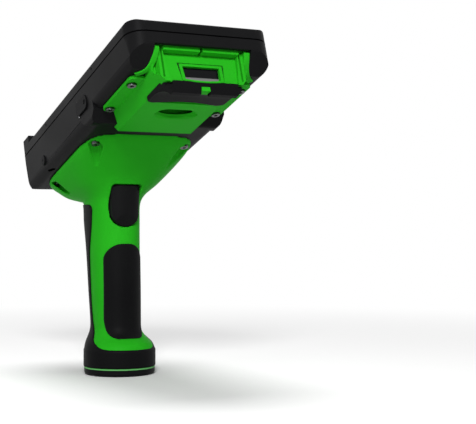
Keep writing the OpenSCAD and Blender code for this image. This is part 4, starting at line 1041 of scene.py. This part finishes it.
def edge_loops(bm):
    """The edges of a bmesh, sorted into sets that hang together."""
    loops, left = [], set(bm.edges)
    while left:
        loop, ends = set(), [left.pop()]
        while ends:
            edge = ends.pop()
            loop.add(edge)
            near = {other for vert in edge.verts for other in vert.link_edges} & left
            left -= near
            ends += near
        loops.append(loop)
    return loops


seam = joined_mesh("top_cover")
bmesh.ops.bisect_plane(seam, geom=seam.verts[:] + seam.edges[:] + seam.faces[:],
                       plane_co=on_head(0, 0, SEAM_N + SEAM_CUT) * MM, plane_no=up,
                       clear_inner=True, clear_outer=True)
loops = edge_loops(seam)
widest = max(loops, key=lambda loop: max(vert.co.x for edge in loop for vert in edge.verts))
bmesh.ops.delete(seam, geom=[edge for edge in seam.edges if edge not in widest], context="EDGES")
print("seam loops:", len(loops), "edges kept:", len(seam.edges))

# %% Painted shadow in the seam
MIDDLE_S = 106
middle = on_head(0, MIDDLE_S, SEAM_N) * MM
for vert in seam.verts:
    out = vert.co - middle
    out -= up * out.dot(up)
    vert.co += out.normalized() * SEAM_OUT * MM
drawn = bmesh.ops.extrude_edge_only(seam, edges=seam.edges[:])["geom"]
bmesh.ops.translate(seam, vec=up * -SEAM_H * MM, verts=only(bmesh.types.BMVert, drawn))
bmesh.ops.recalc_face_normals(seam, faces=seam.faces[:])
for face in seam.faces:
    if face.normal.dot(face.calc_center_median() - middle) < 0:
        face.normal_flip()
bmesh.ops.solidify(seam, geom=seam.faces[:], thickness=SEAM_T * MM)
bmesh.ops.recalc_face_normals(seam, faces=seam.faces[:])
seam_shadow = as_object("seam_shadow", seam, painted_shadow_black)
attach(seam_shadow, "scanner")
print("seam faces:", len(seam_shadow.data.polygons))

# %% [markdown]
# The slot in the shell's edge
#
# Beside the handle's flange the shell's lower left edge has a short, deep slot. Light never reaches the bottom
# of so narrow a slot, so a black inlay that fills it to the surface looks the same and leaves the shell whole.
# It is a hull of four circles that face straight out of the rounded edge.

# %% Slot inlay
SLOT_ENDS = [(-43.7, 43.9, -31.85), (-42.2, 50.1, -32.85)]
SLOT_R, SLOT_DEEP, SLOT_OUT = 0.85, 0.8, 0.08
out_of_edge = head_direction(-0.58, 0, -0.81).normalized()
facing_out = Vector((0, 0, 1)).rotation_difference(out_of_edge).to_matrix().to_4x4()
slot_circles = [(on_head(*end) + out_of_edge * far, SLOT_R)
                for end in SLOT_ENDS for far in (-SLOT_DEEP, SLOT_OUT)]
slot = circle_hull("edge_slot", slot_circles, facing_out, painted_shadow_black)
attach(slot, "scanner")
print("slot faces:", len(slot.data.polygons))
